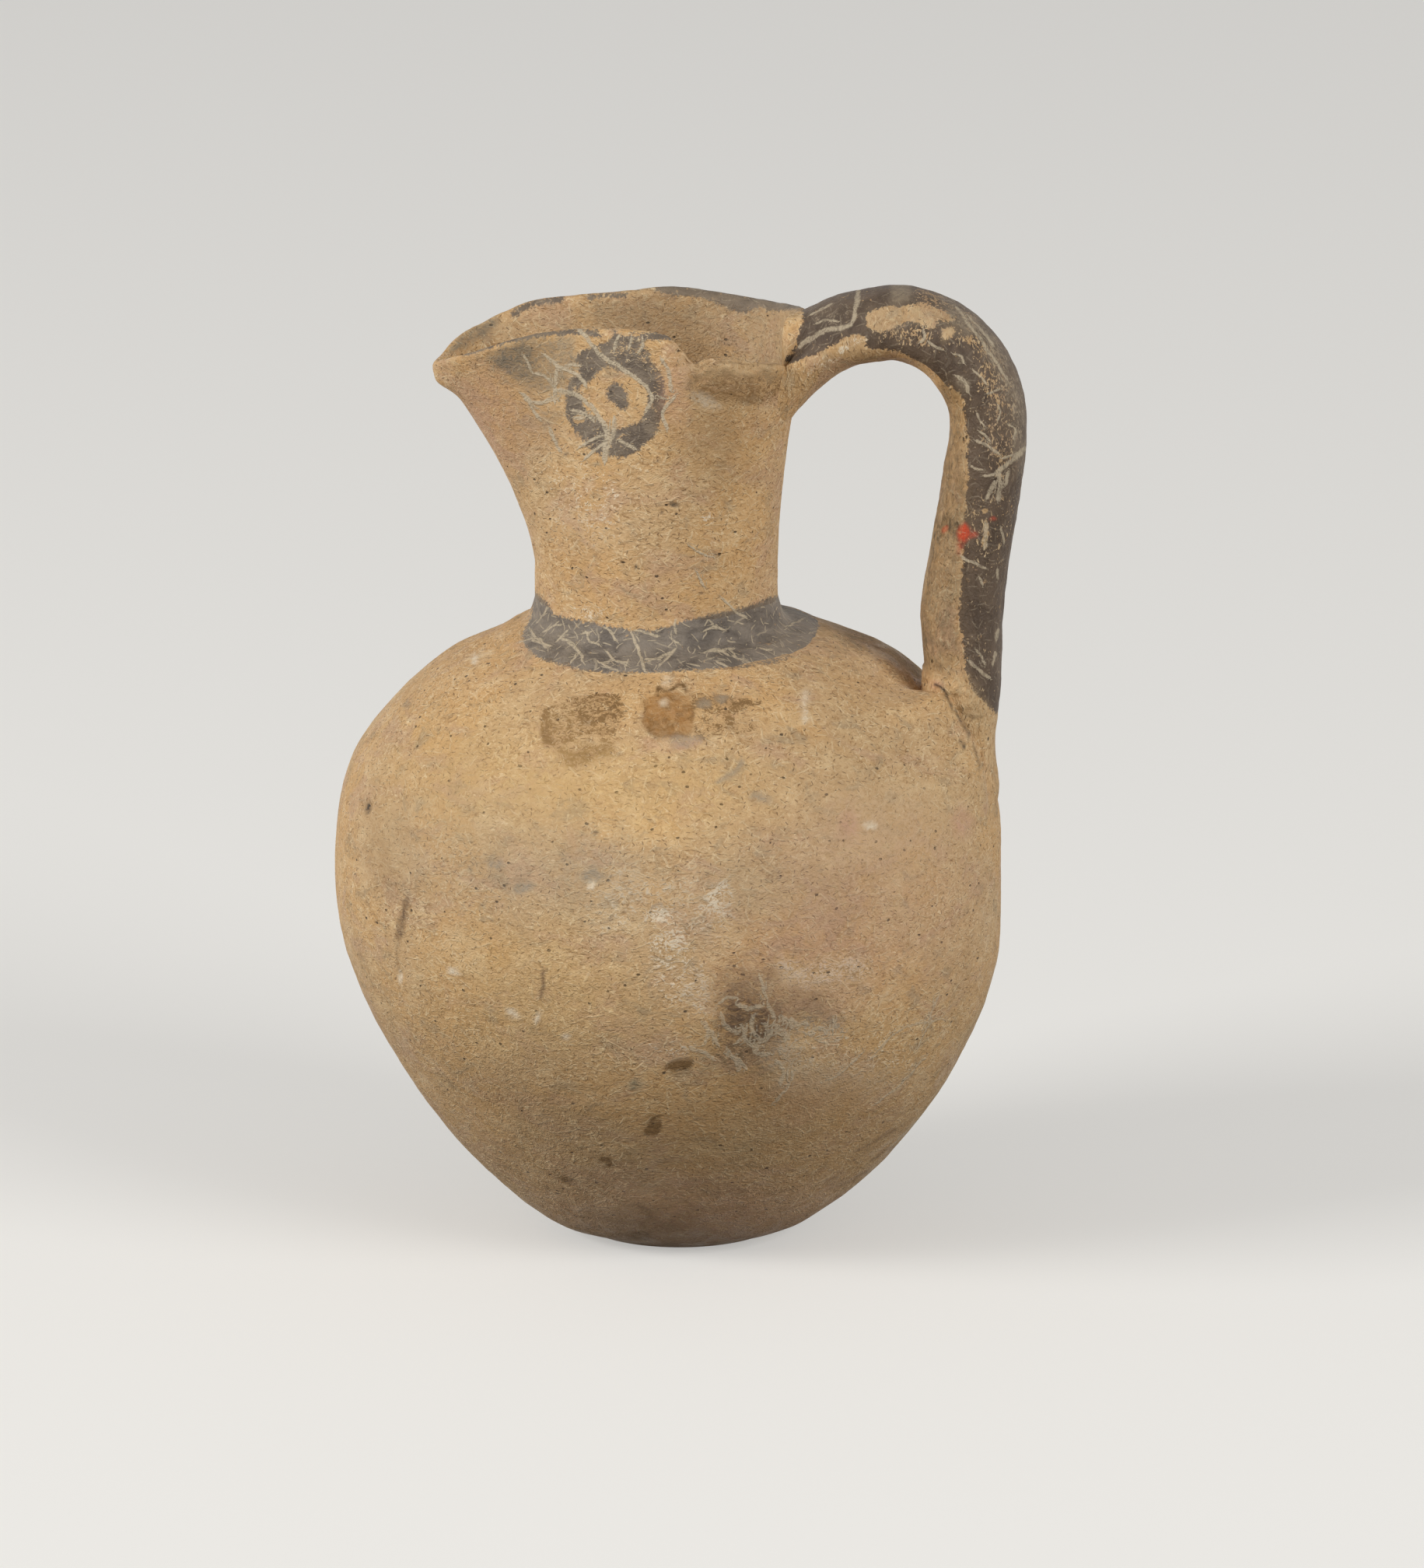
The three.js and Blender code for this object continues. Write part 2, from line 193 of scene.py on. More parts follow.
def nearestStretch(place, points):
    # distance from each pixel place to the nearest stretch of a line, and 1 or -1 for its side of it
    least = np.full(place.shape[:-1], 1e9)
    side = np.ones(place.shape[:-1])
    for start, end in zip(points[:-1], points[1:]):
        reach, away = end - start, place - start
        share = np.clip((away @ reach) / max(reach @ reach, 1e-9), 0, 1)
        distance = np.linalg.norm(away - share[..., None] * reach, axis=-1)
        closer = distance < least
        side = np.where(closer, np.sign(reach[0] * away[..., 1] - reach[1] * away[..., 0]), side)
        least = np.where(closer, distance, least)
    return least, side


def lineDistance(place, points):
    return nearestStretch(place, points)[0]


def insideDistance(place, corners):
    # distance to an outline, positive inside it, where a level line crosses it an odd number of times
    ends = np.roll(corners, -1, axis=0)
    least = lineDistance(place, np.vstack([corners, corners[:1]]))
    odd = np.zeros(place.shape[:-1], bool)
    for (x0, y0), (x1, y1) in zip(corners, ends):
        spans = (place[..., 1] < y0) != (place[..., 1] < y1)
        crossing = x0 + (place[..., 1] - y0) * (x1 - x0) / (y1 - y0 if y1 != y0 else 1e-9)
        odd ^= spans & (place[..., 0] < crossing)
    return np.where(odd, least, -least)


def outlineDistance(place, corners):
    # insideDistance of the smooth closed curve through a few given points
    return insideDistance(place, smoothCurve(corners, len(corners) * 4, closed=True))


pixelsPerMillimetre = camera["focalPixels"] / camera["distance"]
slipSpread = 1.0 * pixelsPerMillimetre  # the slip field rises from 0 to 1 over twice this distance


def slipFrom(distance):
    # 0.5 on the painted edge, more inside it
    return np.clip(0.5 + distance / (2 * slipSpread), 0, 1)


marking = dict(
    facing=(-0.02, 0.06),  # cosines between which a surface comes into the camera's view
    ragged=(3.0, 3),  # size in millimetres and layers of the noise that makes edges ragged
    speckle=(1.1, 2),
    flecks=(0.4, 0.75),  # speckle below and above which a flecked mark is gone and whole
    scratchBend=1.6,  # pixels
    scratchNoise=(1.6, 2),
    scratchReach=16,  # pixels round a scratch that its field covers
    scratchHalf=0.6,  # share of a scratch's width that its field calls 1
)


def facingShare(normals, points):
    # 1 where a surface faces the camera, 0 where it faces away
    return smoothStep(*marking["facing"], (normals * unit(viewPlace - points)).sum(axis=-1))


clayTones = dict(
    brown=tone(150, 114, 72),
    pale=tone(206, 176, 134),
    orange=tone(160, 114, 62),
    residue=tone(140, 108, 68),
    umber=tone(112, 84, 50),
    soot=tone(108, 82, 58),
    smoke=tone(80, 62, 46),
    ink=tone(58, 50, 42),
    grey=tone(158, 142, 120),
    greyGreen=tone(128, 120, 96),
    chalk=tone(226, 208, 180),
    pink=tone(196, 150, 124),
    red=tone(206, 74, 42),
    slate=tone(98, 92, 80),
    taupe=tone(142, 126, 104),
    gold=tone(210, 170, 104),
    # dark brown: painted shade on the bottom and on the handle's side towards the neck, and a real brown
    # stain round the soot
    shadeAndStain=tone(92, 75, 52),
)


def noisePair(points, cell, layers, seeds):
    # two noises side by side, to move places in the photo with
    return np.stack([layeredNoise(points, cell, layers, seed) for seed in seeds], axis=-1)


def spot(tone, look, x, y, wide, tall, turn=0, **more):
    # an ellipse from its middle, half sizes and turn in degrees; all places and sizes are photo pixels
    return dict(kind="spot", tone=tone, look=look, at=(x, y), size=(wide, tall), turn=turn, **more)


def patch(tone, look, *corners, **more):
    return dict(kind="patch", tone=tone, look=look, at=corners, **more)


def stroke(tone, look, width, *points, **more):
    return dict(kind="stroke", tone=tone, look=look, width=width, at=points, **more)


def nearMark(place, corners, margin):
    # the places in the box round a mark; it can't reach the others
    low, high = corners.min(axis=0) - margin, corners.max(axis=0) + margin
    return ((place > low) & (place < high)).all(axis=-1)


def roughPlaces(points, seed):
    # two noises that make edges ragged, and one that breaks a mark into flecks
    rough = noisePair(points, *marking["ragged"], (seed, seed + 50))
    return rough, 0.5 + 0.5 * layeredNoise(points, *marking["speckle"], seed + 90)


def markCover(mark, place, rough, speckle):
    # 1 inside the mark and 0 outside, times its amount. A mark's look is that amount, the softness of
    # its edge, and how far noise moves the edge; a flecked mark stays only where speckle is high
    amount, soft, ragged = mark["look"]
    at, size = pairs(mark["at"]), np.array(mark.get("size", (0, 0)), float)
    width, flecked = mark.get("width", 0), mark.get("flecked", 0)
    near = nearMark(place, at, size.max() + width + soft + 2.5 * ragged)
    moved = place[near] + rough[near] * ragged
    if mark["kind"] == "spot":
        turn = np.radians(mark["turn"])
        away = (moved - at) @ np.array([[np.cos(turn), -np.sin(turn)], [np.sin(turn), np.cos(turn)]])
        reach = np.linalg.norm(away / size, axis=-1)
        shown = 1 - smoothStep(1 - soft / size.min(), 1 + soft / size.min(), reach)
    elif mark["kind"] == "patch":
        shown = smoothStep(-soft, soft, outlineDistance(moved, at))
    else:
        away = lineDistance(moved, smoothCurve(at, 4 * len(at)))
        shown = 1 - smoothStep(width / 2 - soft, width / 2 + soft, away)
    cover = np.zeros(place.shape[:-1])
    cover[near] = shown * (1 - flecked + flecked * smoothStep(*marking["flecks"], speckle[near]))
    return cover * amount


def stainFields(points, place, facing, marks, seed):
    # each mark is laid over the ones before it: colour and cover, both already multiplied by cover,
    # and how much the shader breaks the mark into fine threads
    rough, speckle = roughPlaces(points, seed)
    stain = np.zeros((*points.shape[:-1], 4))
    grain = np.zeros(points.shape[:-1])
    for mark in marks:
        amount = markCover(mark, place, rough, speckle) * facing
        laid = np.append(clayTones[mark["tone"]], 1) * amount[..., None]
        stain = stain * (1 - amount[..., None]) + laid
        grain = grain * (1 - amount) + mark.get("grain", 0) * amount
    return dict(stain=stain, grain=grain / np.maximum(stain[..., 3], 1e-6))


def wornField(points, place, facing, marks, seed):
    # how much of the paint has come off, as fine flakes; marks of wear have no tone
    rough, speckle = roughPlaces(points, seed)
    lost = np.zeros(points.shape[:-1])
    for mark in marks:
        lost = np.maximum(lost, markCover(mark, place, rough, speckle))
    return lost * facing


def scratchField(points, place, facing, scratches, seed, strength):
    # root marks: side distance over half width, from 0 to 1 round 0.5, then nearness and strength
    noise = noisePair(points, *marking["scratchNoise"], (seed, seed + 20))
    bent = place + marking["scratchBend"] * noise
    across = np.full(place.shape[:-1], 4.0)
    nearness = np.zeros(place.shape[:-1])
    for width, *line in scratches:
        line = pairs(line)
        near = nearMark(bent, line, marking["scratchReach"])
        distance, side = nearestStretch(bent[near], smoothCurve(line, 3 * len(line)))
        reach = np.clip(distance * side / (width * marking["scratchHalf"]), -4, 4)
        closer = np.abs(reach) < np.abs(across[near])
        across[near] = np.where(closer, reach, across[near])
        nearness[near] = np.where(closer, np.clip(1.5 - distance / 6, 0, 1), nearness[near])
    flat = np.ones(place.shape[:-1])
    return np.stack([0.5 + across / 8, nearness * facing, flat * strength, flat], axis=-1)


# meshes


def gridFaces(rows, columns, closedAlong):
    # four-sided faces between neighbouring rows of a grid that closes on itself round each row
    row = np.arange(rows if closedAlong else rows - 1)[:, None]
    column = np.arange(columns)[None, :]
    here, there = row * columns, (row + 1) % rows * columns
    following = (column + 1) % columns
    corners = [here + column, here + following, there + following, there + column]
    return np.stack(corners, axis=-1).reshape(-1, 4)


def fanFaces(ring, middle):
    # three-sided faces from a ring of points to its middle
    return np.stack([np.roll(ring, -1), ring, np.full(len(ring), middle)], axis=-1)


def addObject(name, data):
    made = bpy.data.objects.new(name, data)
    bpy.context.scene.collection.objects.link(made)
    return made


def makePiece(name, grid, fields, closedAlong=False):
    # one mesh from a grid of points; open ends are closed with a fan to their middle
    rows, columns = grid.shape[:2]
    points = grid.reshape(-1, 3)
    quads = gridFaces(rows, columns, closedAlong)
    triangles = np.zeros((0, 3), int)
    flat = {key: value.reshape(rows * columns, -1) for key, value in fields.items()}
    firstRing = np.arange(columns)
    lastRing = (rows - 1) * columns + firstRing
    if not closedAlong:
        triangles = np.vstack([
            fanFaces(firstRing, len(points)),
            fanFaces(lastRing, len(points) + 1)[:, [1, 0, 2]],
        ])
        points = np.vstack([points, grid[0].mean(axis=0), grid[-1].mean(axis=0)])
        for key, value in flat.items():
            flat[key] = np.vstack([value, value[:columns].mean(axis=0), value[-columns:].mean(axis=0)])
    mesh = bpy.data.meshes.new(name)
    mesh.vertices.add(len(points))
    mesh.vertices.foreach_set("co", (points * metre).astype(np.float32).ravel())
    loops = np.concatenate([quads.ravel(), triangles.ravel()]).astype(np.int32)
    sizes = np.concatenate([np.full(len(quads), 4), np.full(len(triangles), 3)])
    mesh.loops.add(len(loops))
    mesh.loops.foreach_set("vertex_index", loops)
    mesh.polygons.add(len(sizes))
    mesh.polygons.foreach_set("loop_start", (np.cumsum(sizes) - sizes).astype(np.int32))
    mesh.update(calc_edges=True)
    mesh.shade_smooth()
    for key, value in flat.items():
        kind, part = ("FLOAT", "value") if value.shape[1] == 1 else ("FLOAT_COLOR", "color")
        stored = mesh.attributes.new(key, kind, "POINT")
        stored.data.foreach_set(part, value.astype(np.float32).ravel())
    mesh.validate()
    if not closedAlong:  # the flat ends keep their shading to themselves
        ends = np.zeros(len(mesh.edges) * 2, np.int32)
        mesh.edges.foreach_get("vertices", ends)
        ends = ends.reshape(-1, 2)
        sharp = np.isin(ends, firstRing).all(axis=1) | np.isin(ends, lastRing).all(axis=1)
        mesh.attributes.new("sharp_edge", "BOOLEAN", "EDGE").data.foreach_set("value", sharp)
    print(name, "made with", int((sizes - 2).sum()), "triangles")
    return addObject(name, mesh)


# body

body = dict(
    outline=[  # radius and height of the outer wall
        (16.6, 0), (25, 4), (39.4, 18), (52.8, 42),
        (55.6, 58), (52.4, 80), (39.4, 95), (27, 101.5),
    ],
    wall=4.0,
    floor=5.0,
    seatRadius=20.65,
    seatHeight=103.0,
    boreRadius=16.45,
    lean=2.0,
    leanFrom=25.0,
    leanTo=62.0,
    neckOffset=1.9,
    bandFrom=95.0,
    bandBlend=(2, 9),  # y over which the near outline of the band turns into the far one
    bandWobble=(2.2, 5.0, 3, 11),  # pixels, then size, layers and seed
    columns=384,
    crowding=0.4,
    baseRows=6,
    wallRows=218,
    insideRows=26,
    dents=(0.3, 16.0, 3, 3),  # slow unevenness of the hand-turned wall
    grain=(0.05, 2.2, 3, 8),
)
neckAxis = -(body["lean"] + body["neckOffset"])
mound = dict(  # clay smoothed up from the shoulder against the near side of the handle's foot
    rise=[  # height on the wall, and how far the mound stands out from it
        (72, 0), (76, 0.9), (78, 1.5), (80.5, 2.4), (82.2, 2.8), (83.8, 3.4), (85.8, 3.9),
        (88.3, 4.65), (90, 5.2), (91.2, 4.9), (92.3, 3.2), (93.6, 1.2), (95, 0),
    ],
    side=-8.3,
    reach=15.0,
    under=(0.8, 5.0),
    behind=20,
    uneven=(0.06, 3.0, 2, 27),
    swells=[
        dict(out=0.9, middle=(36.0, 15.0), wide=(9.0, 12.0), low=(84.0, 90.0), high=(97.0, 100.0)),
        dict(out=0.45, middle=(52.0, 4.0), wide=(12.0, 13.0), low=(58.0, 72.0), high=(80.0, 88.0)),
    ],
)


def leanAt(height):
    # the wall's centre moves towards the spout with height, in two smooth steps
    first = body["lean"] * smoothStep(body["leanFrom"], body["leanTo"], height)
    return -first - body["neckOffset"] * smoothStep(body["outline"][-1][1], body["seatHeight"], height)


def bodyLine(offset):
    # the outer wall's outline, moved outwards along its normal
    line = evenlySpaced(smoothCurve(body["outline"], 600), 400)
    run = unit(np.gradient(line, axis=0))
    return line + offset * np.stack([run[:, 1], -run[:, 0]], axis=1)


def bodyRadius(height):
    line = bodyLine(0)
    return np.interp(height, line[:, 1], line[:, 0])


def turned(profile, columns):
    # radius and height carried round the leaning axis: x = r cos a + lean, y = r sin a, z = height.
    # Angle a = t - crowding * cos t puts the columns closer together on the side with the marks
    even = np.arange(columns) / columns * 2 * np.pi
    angle = even - body["crowding"] * np.cos(even)
    radius, height = profile[:, 0, None], profile[:, 1, None]
    x = radius * np.cos(angle) + leanAt(height)
    y = radius * np.sin(angle)
    return np.stack([x, y, np.broadcast_to(height, x.shape)], axis=-1)


bodyPits = [  # pixel place, half sizes in pixels, depth in millimetres
    ((474, 1037), (5, 9), 0.7),
    ((515, 1254), (5, 5), 0.4),
    ((766, 1086), (4, 4), 0.3),
    ((1236, 953), (4, 7), 0.5),
    ((672, 1142), (13, 9), 0.12),
    ((636, 1111), (11, 7), 0.12),
    ((760, 1130), (14, 8), 0.12),
    ((848, 1176), (16, 10), 0.15),
    ((976, 1024), (11, 6), 0.15),
    ((1168, 1116), (6, 6), 0.25),
    ((870, 1384), (20, 7), 0.15),
    ((838, 1447), (12, 11), 0.2),
]
rootCrack = [1203, 880, 1212, 885, 1217, 893, 1223, 907, 1231, 919, 1239, 931, 1247, 944]


def pitDepth(place, facing, pits):
    # each pit is a smooth bowl: depth times (1 - distance squared) squared
    depth = np.zeros(place.shape[:-1])
    for middle, size, deepest in pits:
        reach = np.linalg.norm((place - np.array(middle)) / np.array(size), axis=-1)
        depth = np.maximum(depth, deepest * np.clip(1 - (reach / 1.4) ** 2, 0, 1) ** 2)
    return depth * facing


bodyMarks = [
    patch("residue", (0.42, 5, 8), 722, 966, 798, 962, 796, 974, 762, 984, 728, 980, grain=1),
    spot("pale", (0.5, 40, 12), 1140, 1060, 90, 60, grain=0.4),
    # painted shade: darkens the underside of the body near the floor
    spot("shadeAndStain", (0.4, 34, 6), 900, 1606, 230, 40),
    spot("brown", (0.3, 50, 3), 1010, 1440, 150, 70),
    spot("grey", (0.26, 70, 14), 620, 1085, 120, 90),
    spot("grey", (0.22, 44, 12), 905, 1150, 180, 50),
    spot("grey", (0.26, 34, 12), 770, 1110, 60, 50),
    spot("gold", (0.3, 60, 12), 650, 1000, 120, 70),
    spot("gold", (0.22, 60, 12), 700, 1270, 110, 80),
    spot("gold", (0.25, 40, 12), 860, 1020, 120, 50),
    spot("pink", (0.24, 80, 12), 1120, 1150, 120, 110),
    spot("pink", (0.25, 50, 10), 1010, 1250, 110, 60),
    spot("pink", (0.3, 40, 8), 905, 1560, 170, 45),
    spot("brown", (0.22, 50, 10), 700, 1440, 150, 60),
    spot("brown", (0.3, 18, 6), 495, 1100, 22, 50),
    patch("residue", (0.57, 3, 3), 697, 912, 716, 905, 728, 899, 745, 896, 790, 894, 802, 901, 804, 920,
        802, 938, 788, 945, 750, 946, 722, 956, 699, 958, grain=1, flecked=0.2),
    patch("umber", (0.26, 3, 4), 736, 897, 795, 895, 800, 918, 786, 930, 760, 934, 740, 920, grain=1,
        flecked=0.4),
    stroke("residue", (0.5, 4, 2), 9, 701, 913, 701, 932, 702, 955, grain=1, flecked=0.2),
    patch("residue", (0.42, 7, 6), 704, 950, 745, 944, 796, 940, 792, 965, 765, 975, 748, 984, 722, 974,
        grain=1, flecked=0.4),
    patch("orange", (0.66, 4, 3), 828, 903, 836, 893, 858, 888, 882, 892, 890, 905, 892, 925, 886, 943,
        868, 947, 845, 946, 830, 936, 826, 920, grain=0.35),
    spot("umber", (0.45, 8, 3), 860, 920, 30, 26, flecked=1),
    spot("residue", (0.4, 7, 5), 862, 938, 26, 10, flecked=0.6),
    stroke("umber", (0.55, 3, 3), 5, 829, 903, 827, 922, 834, 940, 850, 947, 872, 947, 888, 941,
        grain=0.5, flecked=0.3),
    stroke("umber", (0.55, 3, 3), 5, 890, 890, 892, 905, 889, 922, grain=0.5, flecked=0.3),
    patch("residue", (0.57, 3, 4), 892, 893, 930, 894, 960, 899, 982, 904, 965, 913, 945, 920, 970, 930,
        978, 938, 950, 946, 925, 948, 905, 952, 892, 948, 895, 915, grain=1, flecked=0.25),
    stroke("umber", (0.4, 3, 3), 4, 892, 897, 920, 901, 950, 904, 980, 906, grain=0.8, flecked=0.3),
    spot("grey", (0.65, 4, 4), 904, 904, 8, 7, grain=0.5),
    spot("grey", (0.65, 3, 4), 926, 898, 8, 4, grain=0.5),
    spot("grey", (0.65, 5, 6), 884, 954, 26, 8, grain=0.7),
    stroke("umber", (0.9, 1.5, 2), 4, 845, 892, 847, 883, 856, 887, 864, 886, 874, 880, 881, 882,
        884, 889),
    spot("chalk", (0.59, 4, 3), 854, 903, 6, 5, grain=0.4),
    spot("chalk", (0.45, 4, 3), 857, 872, 7, 9),
    spot("pink", (0.5, 5, 6), 868, 958, 40, 6, flecked=0.6),
    stroke("chalk", (0.52, 4, 2), 10, 1038, 890, 1034, 908, 1036, 926, grain=0.3),
    stroke("grey", (0.65, 3, 3), 6, 925, 1006, 944, 994, 953, 980),
    spot("pink", (0.45, 8, 3), 1091, 1060, 12, 16),
    spot("pink", (0.5, 10, 3), 1238, 1056, 12, 18),
    spot("chalk", (0.78, 3, 3), 1118, 1062, 7, 5),
    spot("ink", (0.85, 2, 1), 474, 1037, 4, 8),
    spot("chalk", (0.8, 2, 3), 611, 848, 7, 4, turn=60),
    stroke("soot", (0.7, 3, 3), 8, 522, 1159, 517, 1180, 513, 1203),
    stroke("soot", (0.55, 2, 3), 3, 513, 1203, 513, 1225, 514, 1246),
    spot("chalk", (0.8, 2, 1), 515, 1256, 3, 7),
    spot("grey", (0.78, 3, 3), 672, 1142, 13, 8),
    spot("grey", (0.65, 4, 3), 636, 1111, 11, 7),
    spot("grey", (0.65, 5, 3), 757, 1128, 15, 9),
    spot("chalk", (0.8, 2, 3), 760, 1141, 4, 5),
    spot("ink", (0.7, 2, 1), 766, 1071, 4, 3),
    spot("grey", (0.72, 4, 3), 978, 1025, 12, 6),
    spot("chalk", (0.65, 5, 3), 850, 1176, 16, 8, grain=0.7),
    stroke("soot", (0.6, 2, 3), 3, 838, 1168, 848, 1163, 858, 1166),
    spot("chalk", (0.4, 9, 7), 925, 1155, 16, 28, turn=20, grain=1),
    patch("chalk", (0.34, 12, 7), 840, 1200, 880, 1197, 890, 1220, 880, 1260, 886, 1290, 862, 1297,
        840, 1270, grain=1),
    spot("chalk", (0.8, 2, 3), 582, 1249, 8, 4, turn=20),
    spot("chalk", (0.8, 2, 3), 659, 1303, 9, 4, turn=35),
    spot("chalk", (0.8, 2, 3), 691, 1308, 3, 8, turn=15),
    spot("chalk", (0.8, 2, 3), 729, 1332, 5, 3),
    stroke("soot", (0.75, 2, 3), 5, 703, 1246, 699, 1262, 694, 1281),
    spot("shadeAndStain", (0.24, 46, 12), 966, 1316, 76, 66),
    spot("shadeAndStain", (0.28, 26, 10), 956, 1266, 44, 26),
    patch("soot", (0.4, 14, 10), 925, 1288, 950, 1276, 990, 1280, 1010, 1298, 1018, 1322, 1008, 1346,
        985, 1360, 945, 1360, 918, 1346, 912, 1326, 918, 1305, grain=0.5),
    patch("smoke", (0.5, 8, 6), 940, 1302, 965, 1296, 988, 1306, 996, 1322, 986, 1336, 962, 1338,
        942, 1328, 934, 1314, grain=0.5),
    spot("shadeAndStain", (0.3, 14, 10), 948, 1362, 60, 16, grain=0.7),
    spot("shadeAndStain", (0.36, 12, 8), 1062, 1318, 30, 14, grain=0.9),
    spot("shadeAndStain", (0.25, 16, 8), 1035, 1296, 30, 20),
    patch("chalk", (0.34, 12, 9), 1000, 1238, 1050, 1232, 1108, 1238, 1110, 1262, 1060, 1266, 1005, 1258,
        grain=1),
    patch("chalk", (0.34, 12, 9), 880, 1236, 905, 1236, 915, 1270, 905, 1300, 880, 1298, grain=1),
    patch("chalk", (0.34, 9, 9), 830, 1345, 900, 1340, 905, 1356, 835, 1360, grain=1),
    patch("chalk", (0.24, 20, 12), 780, 1140, 900, 1130, 950, 1180, 900, 1220, 800, 1220, 760, 1180,
        grain=1),
    patch("chalk", (0.26, 20, 12), 1010, 1330, 1090, 1320, 1180, 1330, 1150, 1400, 1040, 1420, 990, 1390,
        grain=1),
    patch("umber", (0.95, 2, 3), 857, 1370, 872, 1362, 893, 1363, 893, 1369, 880, 1375, 862, 1376),
    patch("umber", (0.95, 2, 3), 826, 1458, 836, 1440, 850, 1434, 850, 1452, 838, 1459),
    patch("umber", (0.85, 2, 3), 766, 1493, 776, 1489, 786, 1490, 783, 1502, 776, 1497),
    spot("umber", (0.85, 2, 3), 727, 1516, 10, 4, turn=20),
    stroke("umber", (0.5, 3, 3), 7, 822, 1548, 832, 1556, 834, 1566),
    spot("umber", (0.85, 3, 3), 822, 1589, 14, 6, turn=10),
    spot("greyGreen", (0.65, 4, 3), 818, 1397, 9, 7),
    spot("orange", (0.4, 24, 8), 1050, 1405, 80, 26),
    stroke("soot", (0.6, 2, 3), 3, 1120, 1492, 1142, 1480, 1163, 1468),
    stroke("soot", (0.6, 2, 3), 3, 1098, 1513, 1112, 1509, 1120, 1506),
    stroke("soot", (0.5, 2, 3), 3, 1100, 1480, 1130, 1462, 1150, 1452),
    stroke("soot", (0.5, 2, 3), 3, 1060, 1520, 1075, 1514),
    # painted shade: dark lines down the crack between the handle's foot and the shoulder
    stroke("ink", (0.8, 2, 1), 3, *rootCrack),
    stroke("umber", (0.7, 2, 2), 3, 1251, 957, 1256, 968, 1259, 984),
    stroke("ink", (0.8, 1, 1), 3, 1234, 950, 1238, 955, 1239, 961),
]
bodyScratches = [
    (4.6, 905, 1316, 912, 1326, 908, 1338), (5.0, 958, 1336, 966, 1344, 978, 1346),
    (4.4, 996, 1318, 1006, 1326, 1012, 1334), (4.4, 1016, 1310, 1026, 1318, 1034, 1316),
    (4.0, 936, 1356, 948, 1362, 958, 1372), (4.4, 1000, 1366, 1008, 1378, 1004, 1392),
    (4.0, 890, 1350, 904, 1352, 916, 1360), (4.0, 1040, 1330, 1052, 1322, 1062, 1326),
    (5, 950, 1292, 962, 1296, 977, 1295), (5, 928, 1306, 933, 1319, 946, 1327),
    (5, 969, 1307, 967, 1322, 976, 1336), (4, 988, 1293, 992, 1300, 995, 1308),
    (4, 1005, 1307, 1012, 1313, 1018, 1321), (4, 984, 1317, 989, 1328, 985, 1338),
    (4, 954, 1321, 958, 1331, 949, 1340), (4, 917, 1325, 919, 1334, 923, 1342),
    (4, 936, 1351, 944, 1362, 948, 1374), (4, 970, 1353, 980, 1356, 990, 1355),
    (3, 978, 1256, 981, 1268, 984, 1281), (3, 1070, 1309, 1072, 1316, 1071, 1324),
    (3, 926, 1290, 934, 1284, 944, 1283), (3, 996, 1326, 1004, 1332, 1010, 1341),
    (2, 1120, 1360, 1150, 1330, 1178, 1316, 1215, 1310), (2, 1060, 1390, 1080, 1380, 1110, 1352),
    (2, 1125, 1420, 1160, 1392, 1190, 1360), (2, 1180, 1350, 1196, 1310, 1206, 1280),
    (3, 1020, 1380, 1012, 1400, 998, 1416), (2, 1150, 1470, 1180, 1440, 1212, 1410),
    (2, 1040, 1330, 1060, 1340, 1080, 1336),
]

bandOutline = pairs([  # painted band at the foot of the neck
    669, 821, 679, 835, 696, 847, 714, 852, 733, 857, 766, 863, 808, 867, 848, 864, 880, 862, 909, 861,
    940, 859, 963, 858, 993, 852, 1019, 846, 1044, 831, 1054, 816, 1052, 800, 1040, 785, 1014, 755,
    1000, 764, 987, 771, 974, 776, 949, 782, 930, 786, 909, 791, 895, 793, 881, 798, 865, 805, 852, 806,
    840, 811, 825, 807, 814, 809, 800, 806, 786, 806, 768, 803, 752, 800, 733, 797, 722, 795, 713, 790,
    707, 777, 698, 769, 690, 762, 680, 755, 682, 785, 674, 808,
])


def bandSlip(points):
    # the photo's outline of the band on the near side, its mirror image on the far side, and between
    # them a blend over a few millimetres
    near = insideDistance(photoPlace(points), bandOutline)
    far = insideDistance(photoPlace(points * (1, -1, 1)), bandOutline)
    share = smoothStep(*body["bandBlend"], points[..., 1])
    pixels, *form = body["bandWobble"]
    edge = near * (1 - share) + far * share + pixels * layeredNoise(points, *form)
    return np.where(points[..., 2] > body["bandFrom"], slipFrom(edge), 0)


def moundHeight(grid):
    # rise by height, fading over reach away from the handle's foot and again underneath it, and low
    # swells behind and below the foot: out * e^-(x/wide)^2 * e^-(y/wide)^2, between two heights
    rise = np.interp(grid[..., 2], *np.array(mound["rise"], float).T)
    uneven, *form = mound["uneven"]
    away = mound["side"] - grid[..., 1]
    fade = (1 - smoothStep(0, mound["reach"], away)) * (1 - smoothStep(*mound["under"], -away))
    height = rise * fade * (grid[..., 0] > mound["behind"]) * (1 + uneven * layeredNoise(grid, *form))
    for swell in mound["swells"]:
        reach = (((grid[..., :2] - swell["middle"]) / swell["wide"]) ** 2).sum(axis=-1)
        shown = smoothStep(*swell["low"], grid[..., 2]) * (1 - smoothStep(*swell["high"], grid[..., 2]))
        height = np.maximum(height, swell["out"] * np.exp(-reach) * shown)
    return height


def unevenness(grid, piece):
    # a piece's dents and grain are each a height in millimetres, then size, layers and seed of noise
    return sum(height * layeredNoise(grid, *form) for height, *form in (piece["dents"], piece["grain"]))


